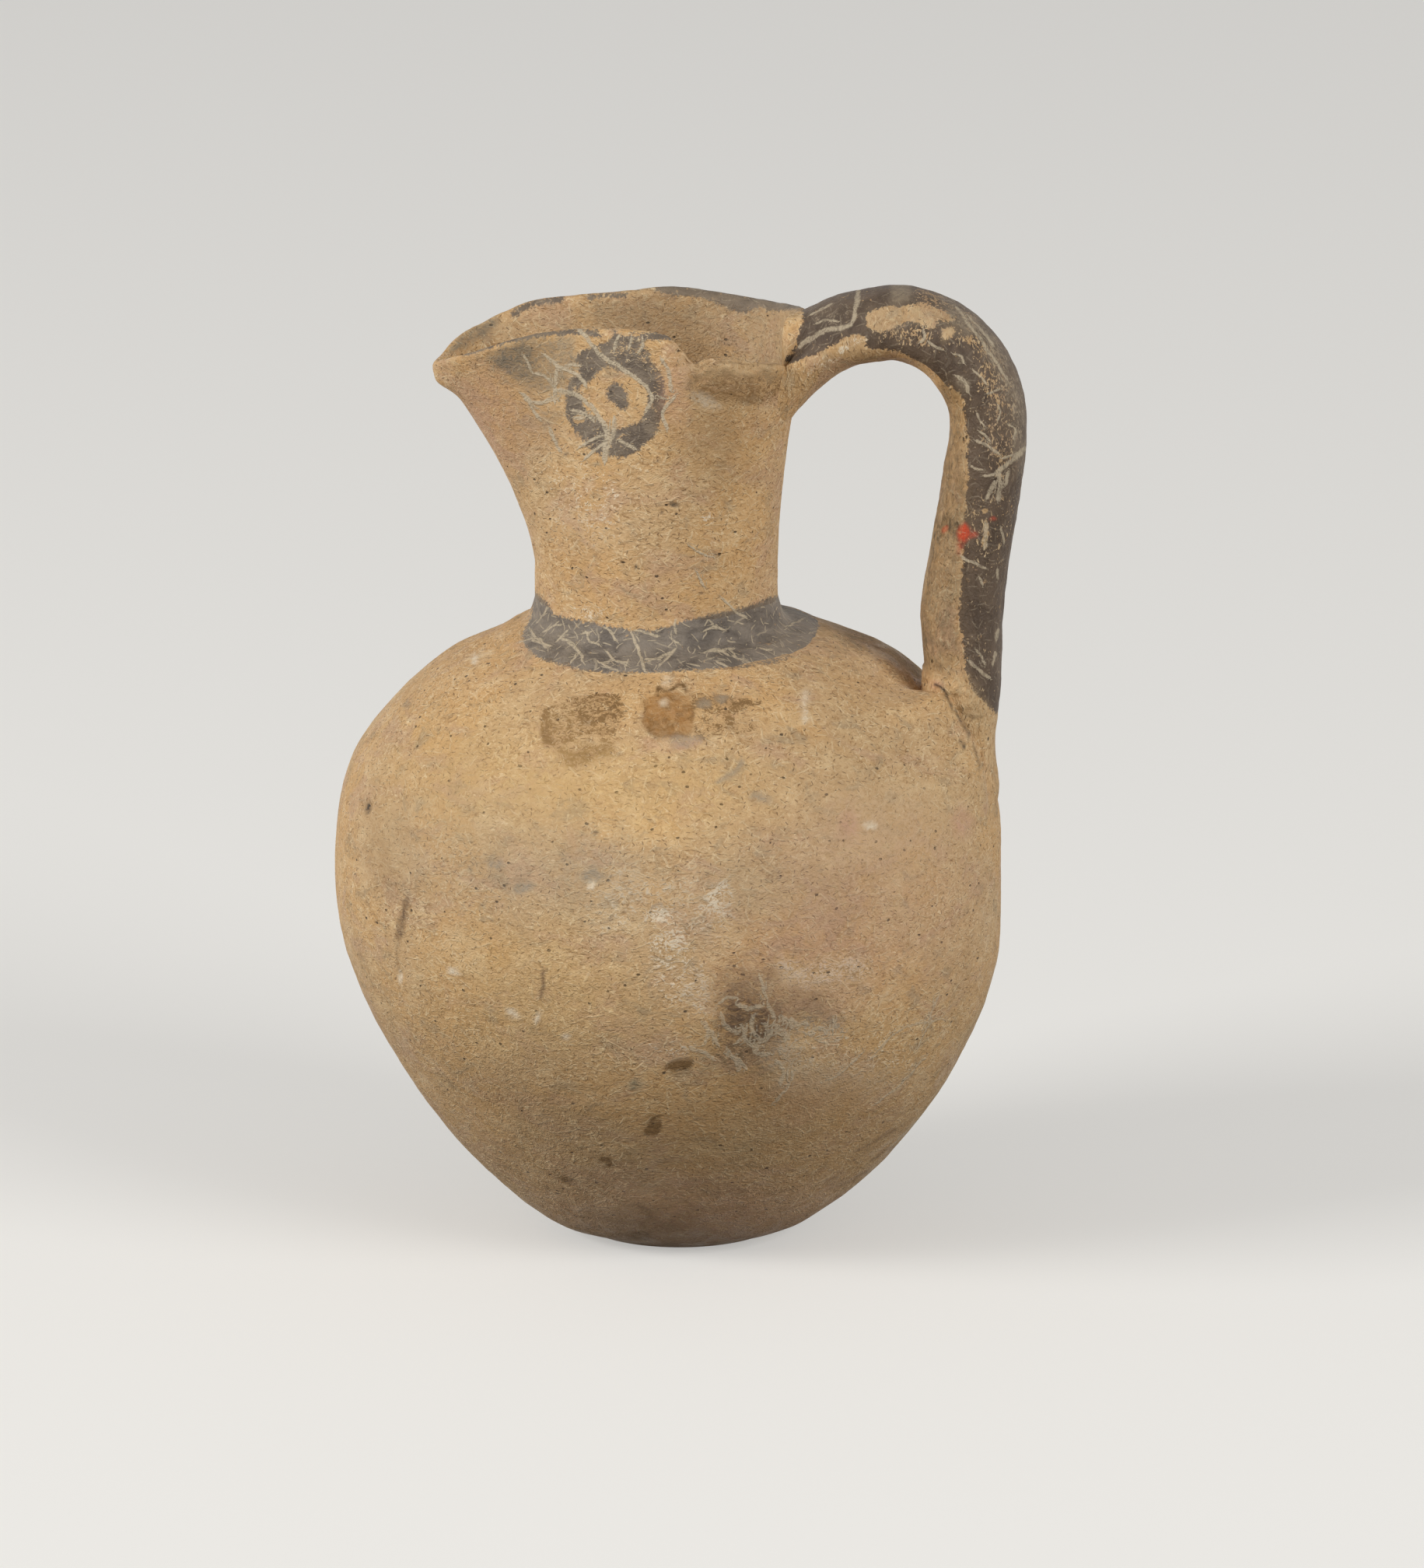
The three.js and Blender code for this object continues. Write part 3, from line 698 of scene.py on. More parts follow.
def makeBody():
    wallLine = evenlySpaced(bodyLine(0), body["wallRows"])
    baseRadii = np.linspace(0.3, body["outline"][0][0], body["baseRows"], endpoint=False)
    baseLine = np.stack([baseRadii, np.zeros(len(baseRadii))], axis=1)
    inner = bodyLine(-body["wall"])
    roof = body["seatHeight"] - body["wall"]
    inner = inner[(inner[:, 1] > body["floor"]) & (inner[:, 0] > body["boreRadius"]) & (inner[:, 1] < roof)]
    insideLine = evenlySpaced(inner[::-1], body["insideRows"])
    topLine = [
        (body["seatRadius"], body["seatHeight"]),
        (body["boreRadius"], body["seatHeight"]),
        (body["boreRadius"], roof),
    ]
    floorLine = [(inner[0, 0] * share, body["floor"]) for share in (0.98, 0.6, 0.02)]
    profile = np.vstack([baseLine, wallLine, topLine, insideLine, floorLine])
    grid = turned(profile, body["columns"])
    outside = np.zeros((len(profile), 1))
    outside[len(baseLine):len(baseLine) + len(wallLine)] = 1
    grid = grid + gridNormals(grid) * (moundHeight(grid) * outside)[..., None]
    normals = gridNormals(grid)
    free = outside * smoothStep(0.2, 3.0, grid[..., 2])
    facing = facingShare(normals, grid) * outside
    height = unevenness(grid, body) - pitDepth(photoPlace(grid), facing, bodyPits)
    grid = grid + normals * (height * free)[..., None]
    place = photoPlace(grid)
    fields = stainFields(grid, place, facing, bodyMarks, 31)
    fields["slip"] = bandSlip(grid) * outside
    fields["scratch"] = scratchField(grid, place, facing, bodyScratches, 41, 0.6)
    return makePiece("body_wall", grid, fields)


# neck and mouth

neck = dict(
    radius=20.05,
    wall=3.6,
    lip=2.9,
    lipRound=1.35,
    flareFrom=10.0,
    flarePower=1.5,
    rim=[  # forward of the neck axis, to the side, above the seat
        (37.3, 0, 43.7), (35, 6.2, 45.4), (30.6, 11, 47.4), (23.8, 13.8, 50.2),
        (16, 13.4, 52), (8, 15.6, 52.9), (0, 18.9, 53.4), (-9, 20.3, 52.6),
        (-17.6, 16.9, 51.4), (-23.4, 9.4, 52.2), (-25.3, 0, 53.4),
    ],
    farRise=[0, 1.0, 1.0, 0.85, 0.45, 0.1, 0, -0.4, 0.3, 0.3, 0],
    tipSwell=dict(out=1.5, below=2.6, tall=2.1, wide=4.5, upTo=-20),
    breakSlope=0.9,  # how far the broken wall slopes inwards
    breakReach=1.5,  # and how far down
    breakDepth=1.2,  # how much of the wall is lost where the slope is full
    breakEnd=(988, 1004),  # photo pixels, beside the handle
    crumble=dict(deep=0.42, low=0.1, down=(2.2, 4.2)),
    lipWear=0.12,
    eyePlace=(4, 12),  # an eye lies beyond this y on each side, and before this x
    strokeDepth=3.2,  # how far below the rim the strokes along the lip may show
    paintWobble=(2.2, 2.4, 3, (61, 62)),
    columns=428,
    outsideRows=168,
    lipRows=12,
    insideRows=48,
    outsidePower=0.92,  # both put the rows closer together towards one end
    insidePower=1.5,
    dents=(0.16, 12.0, 3, 5),
    grain=(0.05, 2.0, 3, 9),
)
brokenEdge = pairs([  # where the rim of the near side runs in the photo, from the whole lip to the handle
    845, 431, 857, 433, 866, 437, 874, 444, 884, 455, 892, 465, 899, 471, 905, 468, 912, 465, 922, 464,
    936, 466, 950, 465, 966, 467, 980, 467, 994, 468, 1006, 467, 1018, 468, 1030, 470, 1040, 470,
])
neckPits = [
    ((867, 649), (6, 3), 0.3),
    ((851, 659), (3, 3), 0.25),
    ((905, 530), (42, 62), 0.4),
    ((818, 729), (3, 3), 0.2),
    ((766, 714), (3, 3), 0.2),
]
eyeOuter = pairs([
    742, 470, 740, 460, 747, 453, 757, 447, 770, 442, 783, 440, 784, 432, 803, 430, 826, 432, 829, 446,
    837, 457, 840, 467, 847, 473, 852, 483, 857, 497, 858, 513, 855, 530, 848, 547, 838, 563, 823, 577,
    810, 585, 797, 588, 780, 588, 767, 582, 757, 575, 743, 560, 733, 543, 728, 527, 727, 510, 730, 498,
    737, 487, 743, 480,
])
eyeInner = pairs([
    750, 497, 763, 487, 777, 473, 790, 477, 810, 482, 820, 492, 832, 498, 833, 513, 828, 527, 825, 540,
    803, 548, 790, 551, 780, 543, 767, 537, 753, 527, 750, 513,
])
eyePupil = pairs([
    783, 495, 797, 493, 802, 500, 808, 513, 808, 523, 800, 527, 790, 518, 780, 510,
])
nearLipStrokes = [
    (4.6, 600, 453, 622, 446, 648, 438, 680, 431, 712, 428, 745, 427, 771, 430),
    (5.6, 789, 431, 805, 433, 825, 433, 845, 432, 864, 431),
]
farLipBand = pairs([
    836, 362, 860, 360, 884, 362, 912, 366, 936, 370, 970, 376, 1005, 383, 1031, 388, 1031, 396,
    1012, 399, 991, 400, 974, 396, 964, 401, 950, 402, 933, 396, 915, 387, 902, 384, 884, 382, 871, 381,
    850, 376,
])
farLipDashes = [
    (9, 661, 404, 673, 396, 688, 390, 700, 388), (9, 706, 387, 722, 385),
    (7, 757, 382, 780, 380, 803, 379),
]

eyeWear = [
    patch(None, (0.4, 6, 5), 828, 436, 842, 446, 862, 480, 866, 516, 848, 514, 838, 486, 822, 462),
    patch(None, (0.3, 6, 5), 738, 556, 770, 566, 790, 576, 788, 596, 756, 592, 738, 576),
    patch(None, (0.14, 6, 5), 730, 460, 800, 434, 850, 450, 864, 520, 840, 580, 790, 596, 740, 570,
        722, 510),
    spot(None, (0.42, 8, 5), 806, 446, 26, 12),
    spot(None, (0.4, 5, 5), 740, 500, 8, 8),
    stroke(None, (0.7, 2, 2), 4, 746, 424, 760, 441, 781, 464),
    stroke(None, (0.8, 2, 2), 5, 766, 530, 778, 545, 781, 570, 776, 591),
    spot(None, (1, 2, 2), 744, 538, 9, 6),
    spot(None, (1, 2, 2), 780, 428, 10, 7),
    stroke(None, (0.8, 2, 2), 5, 798, 429, 822, 430),
]
insideShadeAndSlip = [
    # painted shade: darkens the inner wall of the mouth; the slate patch after it is grey slip on the lip
    patch("taupe", (0.3, 26, 7), 620, 430, 720, 396, 840, 370, 980, 384, 1040, 396, 1030, 480, 900, 490,
        860, 450, 760, 430),
    patch("slate", (0.55, 5, 4), 564, 450, 575, 437, 590, 426, 610, 415, 630, 407, 642, 409, 637, 422,
        622, 433, 605, 443, 588, 452, 570, 461),
]
neckMarks = [
    stroke("ink", (0.7, 3, 2), 5, 1002, 467, 1010, 464, 1020, 457),
    patch("pale", (0.45, 5, 5), 868, 437, 880, 448, 892, 468, 904, 474, 922, 466, 960, 468, 1004, 470,
        1010, 480, 985, 490, 960, 484, 930, 486, 905, 490, 886, 502, 874, 490, 872, 462, grain=0.9),
    # brown clay below the break, partly painted shadow under its ledge
    patch("umber", (0.45, 7, 6), 884, 486, 904, 478, 924, 476, 950, 478, 985, 480, 1014, 478, 1010, 505,
        980, 524, 940, 516, 900, 516, grain=1),
    # painted shade: thin dark lines along the broken edge, where it meets the inner wall
    stroke("umber", (0.75, 1.6, 2), 2.6, 866, 437, 874, 444, 884, 455, 892, 465, 899, 471, 905, 468,
        912, 465, flecked=0.2),
    stroke("umber", (0.7, 1.6, 2), 2.4, 922, 465, 936, 466, 950, 466, 966, 468, 994, 469, 1006, 466,
        flecked=0.35),
    stroke("smoke", (0.6, 2, 3), 4, 884, 500, 890, 496, flecked=0.5),
    stroke("smoke", (0.6, 2, 3), 3, 976, 488, 984, 490, flecked=0.3),
    stroke("smoke", (0.6, 2, 3), 3, 1008, 492, 1012, 496, flecked=0.3),
    spot("brown", (0.42, 40, 12), 915, 560, 48, 62, turn=-20),
    spot("brown", (0.3, 20, 8), 960, 500, 40, 22),
    spot("pink", (0.28, 40, 8), 640, 540, 44, 60, turn=-25),
    spot("pink", (0.35, 14, 6), 868, 500, 16, 40),
    patch("taupe", (0.55, 9, 7), 630, 452, 680, 438, 740, 436, 745, 462, 730, 500, 700, 505, 665, 492,
        640, 474, grain=0.2),
    patch("slate", (0.42, 9, 6), 623, 467, 640, 450, 678, 441, 688, 462, 683, 482, 668, 490, 643, 484,
        626, 476, grain=0.4),
    spot("grey", (0.2, 34, 8), 700, 540, 40, 50),
    spot("brown", (0.14, 28, 8), 760, 690, 60, 30),
    spot("chalk", (0.45, 9, 6), 760, 787, 26, 10, grain=1),
    spot("chalk", (0.45, 6, 3), 912, 666, 12, 8, grain=1),
    spot("chalk", (0.36, 5, 6), 908, 516, 16, 7, turn=30, grain=1),
    spot("chalk", (0.33, 40, 12), 760, 640, 70, 50, grain=1),
    spot("ink", (0.8, 2, 1), 867, 649, 6, 3, turn=15),
    spot("ink", (0.9, 2, 0), 851, 659, 2, 2),
    spot("ink", (0.9, 2, 0), 818, 729, 2, 2),
    spot("ink", (0.8, 2, 0), 766, 714, 2, 2),
    spot("ink", (0.7, 2, 0), 728, 584, 3, 2),
]
neckScratches = [
    (4.4, 745, 424, 760, 440, 777, 460, 803, 477, 833, 498),
    (3.8, 700, 457, 717, 470, 743, 483, 752, 495),
    (5.0, 720, 502, 738, 507, 752, 515, 768, 532, 778, 552, 780, 570, 776, 590),
    (5.0, 790, 540, 788, 557, 781, 578, 778, 592), (3.8, 795, 566, 806, 572, 816, 577),
    (3.4, 747, 576, 760, 566, 774, 560), (3.4, 752, 590, 766, 578, 776, 570),
    (4.0, 852, 462, 859, 477, 862, 500), (3.8, 868, 511, 853, 530, 857, 550),
    (3.6, 716, 472, 714, 490, 713, 515), (3.8, 671, 507, 684, 518, 716, 511),
    (3.4, 678, 512, 684, 524, 694, 538), (3.0, 674, 457, 680, 468, 684, 478),
    (3.6, 833, 500, 838, 512, 832, 528), (3.8, 708, 553, 714, 566, 720, 580), (4.0, 740, 538, 750, 538),
    (3.0, 737, 528, 750, 532, 763, 540), (3.0, 790, 450, 792, 440, 796, 432),
    (2.8, 808, 448, 811, 440, 812, 434), (2.8, 822, 452, 826, 444, 826, 436), (2.8, 846, 510, 856, 512),
    (3.4, 728, 470, 736, 468, 744, 470), (3.2, 690, 480, 702, 486, 712, 496),
    (2.0, 884, 700, 900, 712, 916, 716), (2.6, 928, 768, 942, 782, 956, 795),
    (2.4, 896, 735, 900, 745, 903, 752),
]


def rimPoints():
    # the closed rim: the near half, and its mirror image a little higher at the spout, evenly spaced
    near = np.array(neck["rim"], float) * (-1, -1, 1)
    far = near * (1, -1, 1) + np.array(neck["farRise"], float)[:, None] * (0, 0, 1)
    line = np.vstack([near, far[1:-1][::-1]])
    return evenlySpaced(smoothCurve(line, 4000, closed=True), neck["columns"], closed=True)


def neckWall(rim, share, inward):
    # share runs from 0 at the seat to 1 at the rim. The radius is that of the tube, plus the way out
    # to the rim times ((height - flare start) / (rim - flare start)) ^ power, less inward
    reach = np.linalg.norm(rim[:, :2], axis=1)
    height = share * rim[:, 2]
    flare = np.maximum(height - neck["flareFrom"], 0) / (rim[:, 2] - neck["flareFrom"])
    radius = neck["radius"] + (reach - neck["radius"]) * flare ** neck["flarePower"] - inward
    x = neckAxis + radius * rim[:, 0] / reach
    y = radius * rim[:, 1] / reach
    return np.stack([x, y, body["seatHeight"] + height], axis=-1)


def brokenShare(rim):
    # how much of the wall's height is left in the break, and 1 elsewhere
    edge = neckWall(rim, np.ones(len(rim)), 0)
    across, down = photoPlace(edge).T
    perPixel = 1 / (pixelsPerMillimetre * np.cos(np.radians(camera["tilt"])))
    lost = np.maximum(np.interp(across, *brokenEdge.T) - down, 0) * perPixel
    inBreak = (edge[:, 1] < 0) & (across > brokenEdge[0, 0]) & (across < brokenEdge[-1, 0])
    broken = inBreak * smoothStep(0, neck["breakDepth"], lost) * (1 - smoothStep(*neck["breakEnd"], across))
    return 1 - np.where(inBreak, lost, 0) / rim[:, 2], broken


def neckRings(rim, left, broken):
    # up the outside, round the lip and down the inside
    topShare = 1 - neck["lipRound"] / rim[:, 2]
    bevel = neck["breakSlope"] * broken
    reachDown = neck["breakReach"] * (1 + 0.6 * layeredNoise(rim, 4.0, 3, 18))
    rings = []
    for step in np.linspace(0, 1, neck["outsideRows"]) ** neck["outsidePower"]:
        inward = bevel * np.clip(1 - (1 - step) * left * rim[:, 2] / reachDown, 0, 1)
        rings.append(neckWall(rim, step * topShare * left, inward))
    for angle in np.linspace(0, np.pi, neck["lipRows"] + 2)[1:-1]:
        share = (topShare + np.sin(angle) * (1 - topShare)) * left
        rings.append(neckWall(rim, share, bevel + (neck["lip"] - bevel) * (1 - np.cos(angle)) / 2))
    for step in np.linspace(1, 0, neck["insideRows"]) ** neck["insidePower"]:
        inward = neck["lip"] + (neck["wall"] - neck["lip"]) * (1 - step)
        rings.append(neckWall(rim, step * topShare * left, inward))
    return np.stack(rings)


def tipSwell(grid):
    # the thicker clay under the spout's tip
    swell = neck["tipSwell"]
    tipHeight = body["seatHeight"] + neck["rim"][0][2] - swell["below"]
    share = np.exp(-((grid[..., 2] - tipHeight) / swell["tall"]) ** 2 - (grid[..., 1] / swell["wide"]) ** 2)
    return swell["out"] * share * (grid[..., 0] < swell["upTo"])


def neckSlip(grid, place, outside, farInside, fromTop):
    # the band, an eye on each side, strokes along the near lip, and a band and dashes inside the far one
    rows = np.arange(len(grid))[:, None]
    mirrored = photoPlace(grid * (1, -1, 1))
    pixels, *form = neck["paintWobble"]
    moved = np.where((grid[..., 1] < 0)[..., None], place, mirrored) + pixels * noisePair(grid, *form)
    slip = bandSlip(grid) * (rows < neck["outsideRows"])
    ring = np.minimum(outlineDistance(moved, eyeOuter), -outlineDistance(moved, eyeInner))
    eye = np.maximum(ring, outlineDistance(moved, eyePupil))
    beyond, before = neck["eyePlace"]
    spoutSide = (np.abs(grid[..., 1]) > beyond) & (grid[..., 0] < before)
    slip = np.maximum(slip, slipFrom(eye) * outside * spoutSide)
    edgeStroke = np.maximum.reduce([
        halfWidth - lineDistance(moved, smoothCurve(pairs(line), 40)) for halfWidth, *line in nearLipStrokes
    ])
    atEdge = (grid[..., 1] < 0) * (fromTop < neck["strokeDepth"]) * (outside > 0.2)
    slip = np.maximum(slip, slipFrom(edgeStroke) * atEdge)
    insidePaint = outlineDistance(place, farLipBand)
    for width, *dash in farLipDashes:
        insidePaint = np.maximum(insidePaint, width / 2 - lineDistance(place, smoothCurve(pairs(dash), 20)))
    return np.clip(np.maximum(slip, slipFrom(insidePaint) * farInside), 0, 1)


def makeNeck():
    rim = rimPoints()
    left, broken = brokenShare(rim)
    grid = neckRings(rim, left, broken)
    normals = gridNormals(grid)
    rows, lipStart, lipRows = np.arange(len(grid))[:, None], neck["outsideRows"], neck["lipRows"]
    outside = 1 - smoothStep(lipStart + 3, lipStart + 8, rows)
    nearLip = np.exp(-((rows - lipStart - lipRows / 2) / (lipRows * 0.9)) ** 2)
    place = photoPlace(grid)
    facing = facingShare(normals, grid)
    fromTop = (left * rim[:, 2] + body["seatHeight"]) - grid[..., 2]
    crumble = neck["crumble"]
    crumbled = broken * outside * (1 - smoothStep(*crumble["down"], fromTop))
    height = (
        unevenness(grid, neck)
        + tipSwell(grid) * outside
        - pitDepth(place, facing * outside, neckPits)
        + crumbled * (crumble["deep"] * layeredNoise(grid, 1.7, 3, 17) - crumble["low"])
        - neck["lipWear"] * nearLip * np.abs(layeredNoise(grid, 3.5, 2, 23))
    )
    free = smoothStep(0.5, 3.0, grid[..., 2] - body["seatHeight"])
    grid = grid + normals * (height * free)[..., None]
    farInside = (grid[..., 1] > -2) & (rows >= lipStart + 2)
    slip = neckSlip(grid, place, outside, farInside, fromTop)
    place = photoPlace(grid)
    fields = stainFields(grid, place, facing * outside, neckMarks, 33)
    # inside the mouth: painted shade on the far wall, and grey slip
    insideShadeAndSlipTone = stainFields(grid, place, facing * (1 - outside) * farInside, insideShadeAndSlip, 34)["stain"]
    fields["stain"] = fields["stain"] * (1 - insideShadeAndSlipTone[..., 3:]) + insideShadeAndSlipTone
    fields["slip"] = slip
    fields["worn"] = wornField(grid, place, facing * outside, eyeWear, 36)
    fields["scratch"] = scratchField(grid, place, facing * outside, neckScratches, 42, 0.95)
    return makePiece("neck_and_mouth", grid, fields, closedAlong=True)


# coil over the joint

coil = dict(
    outline=[  # radius from the neck's axis and height, from inside the shoulder to inside the neck
        (29.4, 99.9), (28.6, 100.6), (27, 101.75), (24.6, 102.6), (22.6, 103.3),
        (21.4, 104.2), (20.8, 105.3), (20.4, 106.6), (20.1, 107.9), (19.6, 109.2),
    ],
    lift=[(22.6, 0.75), (24.6, 0.55), (27, 0.2), (28.6, -0.2), (29.4, -0.6)],  # above the shoulder
    laidFrom=(22.0, 26.0),  # radii over which the outline comes to lie on the shoulder
    inside=[(18.2, 108.4), (18.2, 101.6), (25.5, 99.2)],
    columns=440,
    outsideRows=56,
    dents=(0.14, 9.0, 2, 5),
    grain=(0.07, 2.0, 3, 9),
)
coilMarks = [
    patch("grey", (0.34, 9, 7), 1005, 765, 1030, 785, 1050, 805, 1050, 822, 1020, 842, 985, 840,
        1000, 800, flecked=0.3),
    patch("grey", (0.26, 9, 7), 672, 790, 700, 795, 740, 804, 745, 850, 700, 845, 672, 825, flecked=0.4),
]
coilScratches = [
    (3.0, 812, 812, 818, 826, 823, 842, 828, 860), (3.0, 930, 775, 944, 785, 960, 795),
    (2.4, 776, 806, 786, 812, 790, 822), (2.4, 835, 848, 850, 844, 866, 838),
    (2.6, 849, 856, 858, 846, 868, 836), (2.4, 730, 826, 742, 836, 750, 850),
    (2.2, 700, 812, 712, 806, 722, 802), (2.2, 690, 800, 700, 790, 706, 778),
    (2.2, 905, 840, 920, 834, 936, 842), (2.2, 780, 838, 792, 850, 806, 856),
    (2.2, 905, 812, 918, 806, 930, 810), (2.2, 668, 826, 682, 820, 696, 822),
    (2.2, 752, 812, 758, 824, 770, 830), (2.4, 831, 847, 849, 846), (2.2, 780, 807, 787, 815, 793, 824),
    (2.2, 770, 851, 782, 858, 794, 862), (2.0, 775, 852, 792, 850, 808, 851), (2.4, 735, 851, 740, 844),
    (2.4, 724, 821, 737, 828, 745, 838, 750, 846), (2.0, 716, 824, 724, 817, 730, 810),
    (2.6, 682, 810, 692, 822, 702, 833), (2.0, 685, 824, 696, 828, 707, 830), (2.2, 909, 793, 916, 803),
    (2.2, 921, 805, 929, 810), (2.4, 965, 762, 968, 772, 970, 782), (2.2, 909, 838, 924, 837, 940, 833),
    (2.2, 937, 835, 942, 838, 946, 844), (2.2, 943, 844, 954, 849, 965, 852),
    (2.0, 977, 833, 985, 834, 993, 835), (2.0, 1013, 805, 1023, 801, 1033, 796),
    (2.2, 864, 821, 868, 825, 873, 828), (3.0, 820, 810, 832, 814, 845, 817),
    (2.6, 867, 796, 868, 805, 869, 813), (2.2, 887, 852, 898, 855), (2.2, 923, 852, 935, 858),
    (2.0, 747, 814, 760, 813),
]


def makeCoil():
    # the outline carried round the neck's axis, its outer part laid on the shoulder
    outsideLine = evenlySpaced(smoothCurve(coil["outline"], 300), coil["outsideRows"])
    profile = np.vstack([outsideLine, coil["inside"]])
    shown = (np.arange(len(profile)) < coil["outsideRows"])[:, None]
    grid = turned(profile, coil["columns"])
    grid[..., 0] += neckAxis - leanAt(grid[..., 2])
    shoulder = np.vstack([bodyLine(0)[-120:], (body["seatRadius"], body["seatHeight"])])[::-1]
    fromAxis = np.hypot(grid[..., 0] + body["lean"], grid[..., 1])
    lift = np.interp(profile[:, 0], *np.array(coil["lift"]).T)[:, None]
    onShoulder = np.interp(fromAxis, *shoulder.T) + lift
    outer = smoothStep(*coil["laidFrom"], profile[:, 0])[:, None] * shown
    grid[..., 2] = grid[..., 2] * (1 - outer) + onShoulder * outer
    normals = gridNormals(grid)
    grid = grid + normals * (unevenness(grid, coil) * shown)[..., None]
    place = photoPlace(grid)
    facing = facingShare(normals, grid) * shown
    fields = stainFields(grid, place, facing, coilMarks, 38)
    fields["slip"] = bandSlip(grid)
    fields["scratch"] = scratchField(grid, place, facing, coilScratches, 43, 0.85)
    return makePiece("coil_band", grid, fields, closedAlong=True)


# handle and its two pads, worked out as one strap and cut into three pieces

strap = dict(
    start=(21.4, 156.4),  # back of the rim: x and height
    upper=[(8.6, -2.8), (15, -1.9), (21.7, -3.9), (26.5, -8.4), (29.2, -13.7), (29.7, -19.8)],
    footHeight=85.6,
    lower=[(2.8, 41.4), (1.2, 31.4), (0, 21.4), (0, 12.4)],
    thickness=12.8,
    width=17.4,
    squareness=2.3,
    outerHalf=[(0, 6.4), (0.45, 6.4), (0.59, 6.9), (0.73, 7.0), (0.87, 7.05), (1, 6.75)],  # along the strap
    innerHalf=[
        (0, 5.3), (0.12, 5.5), (0.28, 6.0), (0.37, 6.1), (0.45, 6.1), (0.59, 6.3), (0.73, 6.4), (0.87, 6.75),
        (1, 6.1),
    ],
    upperPad=dict(halfWidth=12.0, top=-0.3, bottom=-20.0, leave=(0.3, 0.45), land=(0.08, 0.3)),
    lowerPad=dict(halfWidth=9.4, top=6.8, bottom=-19.0, leave=(0.4, 0.45), land=(0.1, 0.32)),
    nearDrop=4.5,  # the near side of the upper root slopes down towards the break
    nearNarrow=0.22,
    footNarrow=0.15,
    overLip=(0.72, 0.98),  # from the pad's edge on the neck to its edge on the lip
    lipOverlap=0.2,
    lipDrop=(0.1, 1.3, 1.6),  # how far it hangs down: at the middle, more at the sides, and the power
    footSwell=dict(out=2.0, at=76.0, tall=5.8, land=0.82),
    sunk=0.7,
    chap=(0.6, 2.6, 3, 19),  # depth, size, layers and seed of the cracked clay beside the lower paint
    paintWobble=(3.0, 3.0, 3, (71, 72)),
    columns=200,
    rows=350,
    padRows=80,
    fadeRows=14,
    bareBelow=-0.55,  # no paint on the side that faces the neck
    dents=(0.16, 11.0, 3, 13),
    grain=(0.07, 2.0, 3, 9),
)
strapPaint = pairs([
    1031, 396, 1032, 410, 1030, 425, 1027, 439, 1020, 454, 1003, 467, 1020, 468, 1036, 463, 1055, 454,
    1070, 443, 1088, 434, 1105, 429, 1113, 436, 1111, 444, 1120, 449, 1140, 450, 1160, 453, 1172, 461,
    1186, 470, 1200, 480, 1206, 490, 1221, 499, 1233, 506, 1238, 518, 1238, 537, 1243, 557, 1245, 582,
    1245, 607, 1243, 636, 1243, 665, 1238, 682, 1239, 707, 1236, 736, 1234, 765, 1231, 790, 1234, 814,
    1238, 839, 1240, 864, 1250, 885, 1260, 897, 1270, 910, 1279, 920, 1310, 900, 1345, 760, 1355, 560,
    1340, 440, 1260, 350, 1150, 330, 1060, 350, 1020, 376,
])
strapBare = pairs([
    1115, 413, 1117, 404, 1125, 398, 1143, 395, 1155, 394, 1167, 392, 1183, 391, 1197, 394, 1210, 399,
    1220, 404, 1228, 411, 1220, 415, 1206, 413, 1190, 416, 1180, 415, 1167, 414, 1153, 418, 1147, 422,
    1133, 423, 1120, 421,
])
strapWear = [
    patch(None, (0.42, 8, 6), 1124, 424, 1165, 416, 1190, 420, 1200, 432, 1184, 446, 1150, 444,
        1128, 436),
    patch(None, (0.3, 10, 6), 1200, 416, 1230, 412, 1256, 420, 1276, 440, 1262, 462, 1236, 446,
        1206, 446),
    patch(None, (0.36, 10, 7), 1240, 420, 1270, 430, 1296, 470, 1310, 520, 1308, 600, 1286, 620,
        1262, 590, 1262, 520, 1256, 470),
    patch(None, (0.4, 8, 7), 1226, 404, 1246, 410, 1266, 436, 1290, 474, 1302, 510, 1290, 540, 1274, 520,
        1262, 470, 1240, 432),
    patch(None, (0.42, 6, 6), 1176, 366, 1212, 380, 1240, 396, 1262, 416, 1250, 418, 1224, 400, 1196, 388,
        1180, 382),
    patch(None, (0.1, 8, 6), 1040, 380, 1120, 366, 1250, 380, 1320, 480, 1330, 600, 1310, 800, 1290, 900,
        1240, 880, 1236, 700, 1246, 560, 1200, 480, 1110, 450, 1036, 460),
    spot(None, (0.7, 4, 4), 1197, 420, 7, 9),
    spot(None, (0.8, 4, 4), 1219, 428, 12, 8, turn=-40),
    spot(None, (0.7, 4, 5), 1248, 437, 10, 7),
    patch(None, (0.24, 8, 8), 1246, 640, 1300, 640, 1296, 720, 1246, 730),
    spot(None, (1, 2, 2), 1266, 657, 5, 3),
    stroke(None, (1, 2, 2), 6, 1268, 675, 1268, 690, 1267, 703),
]
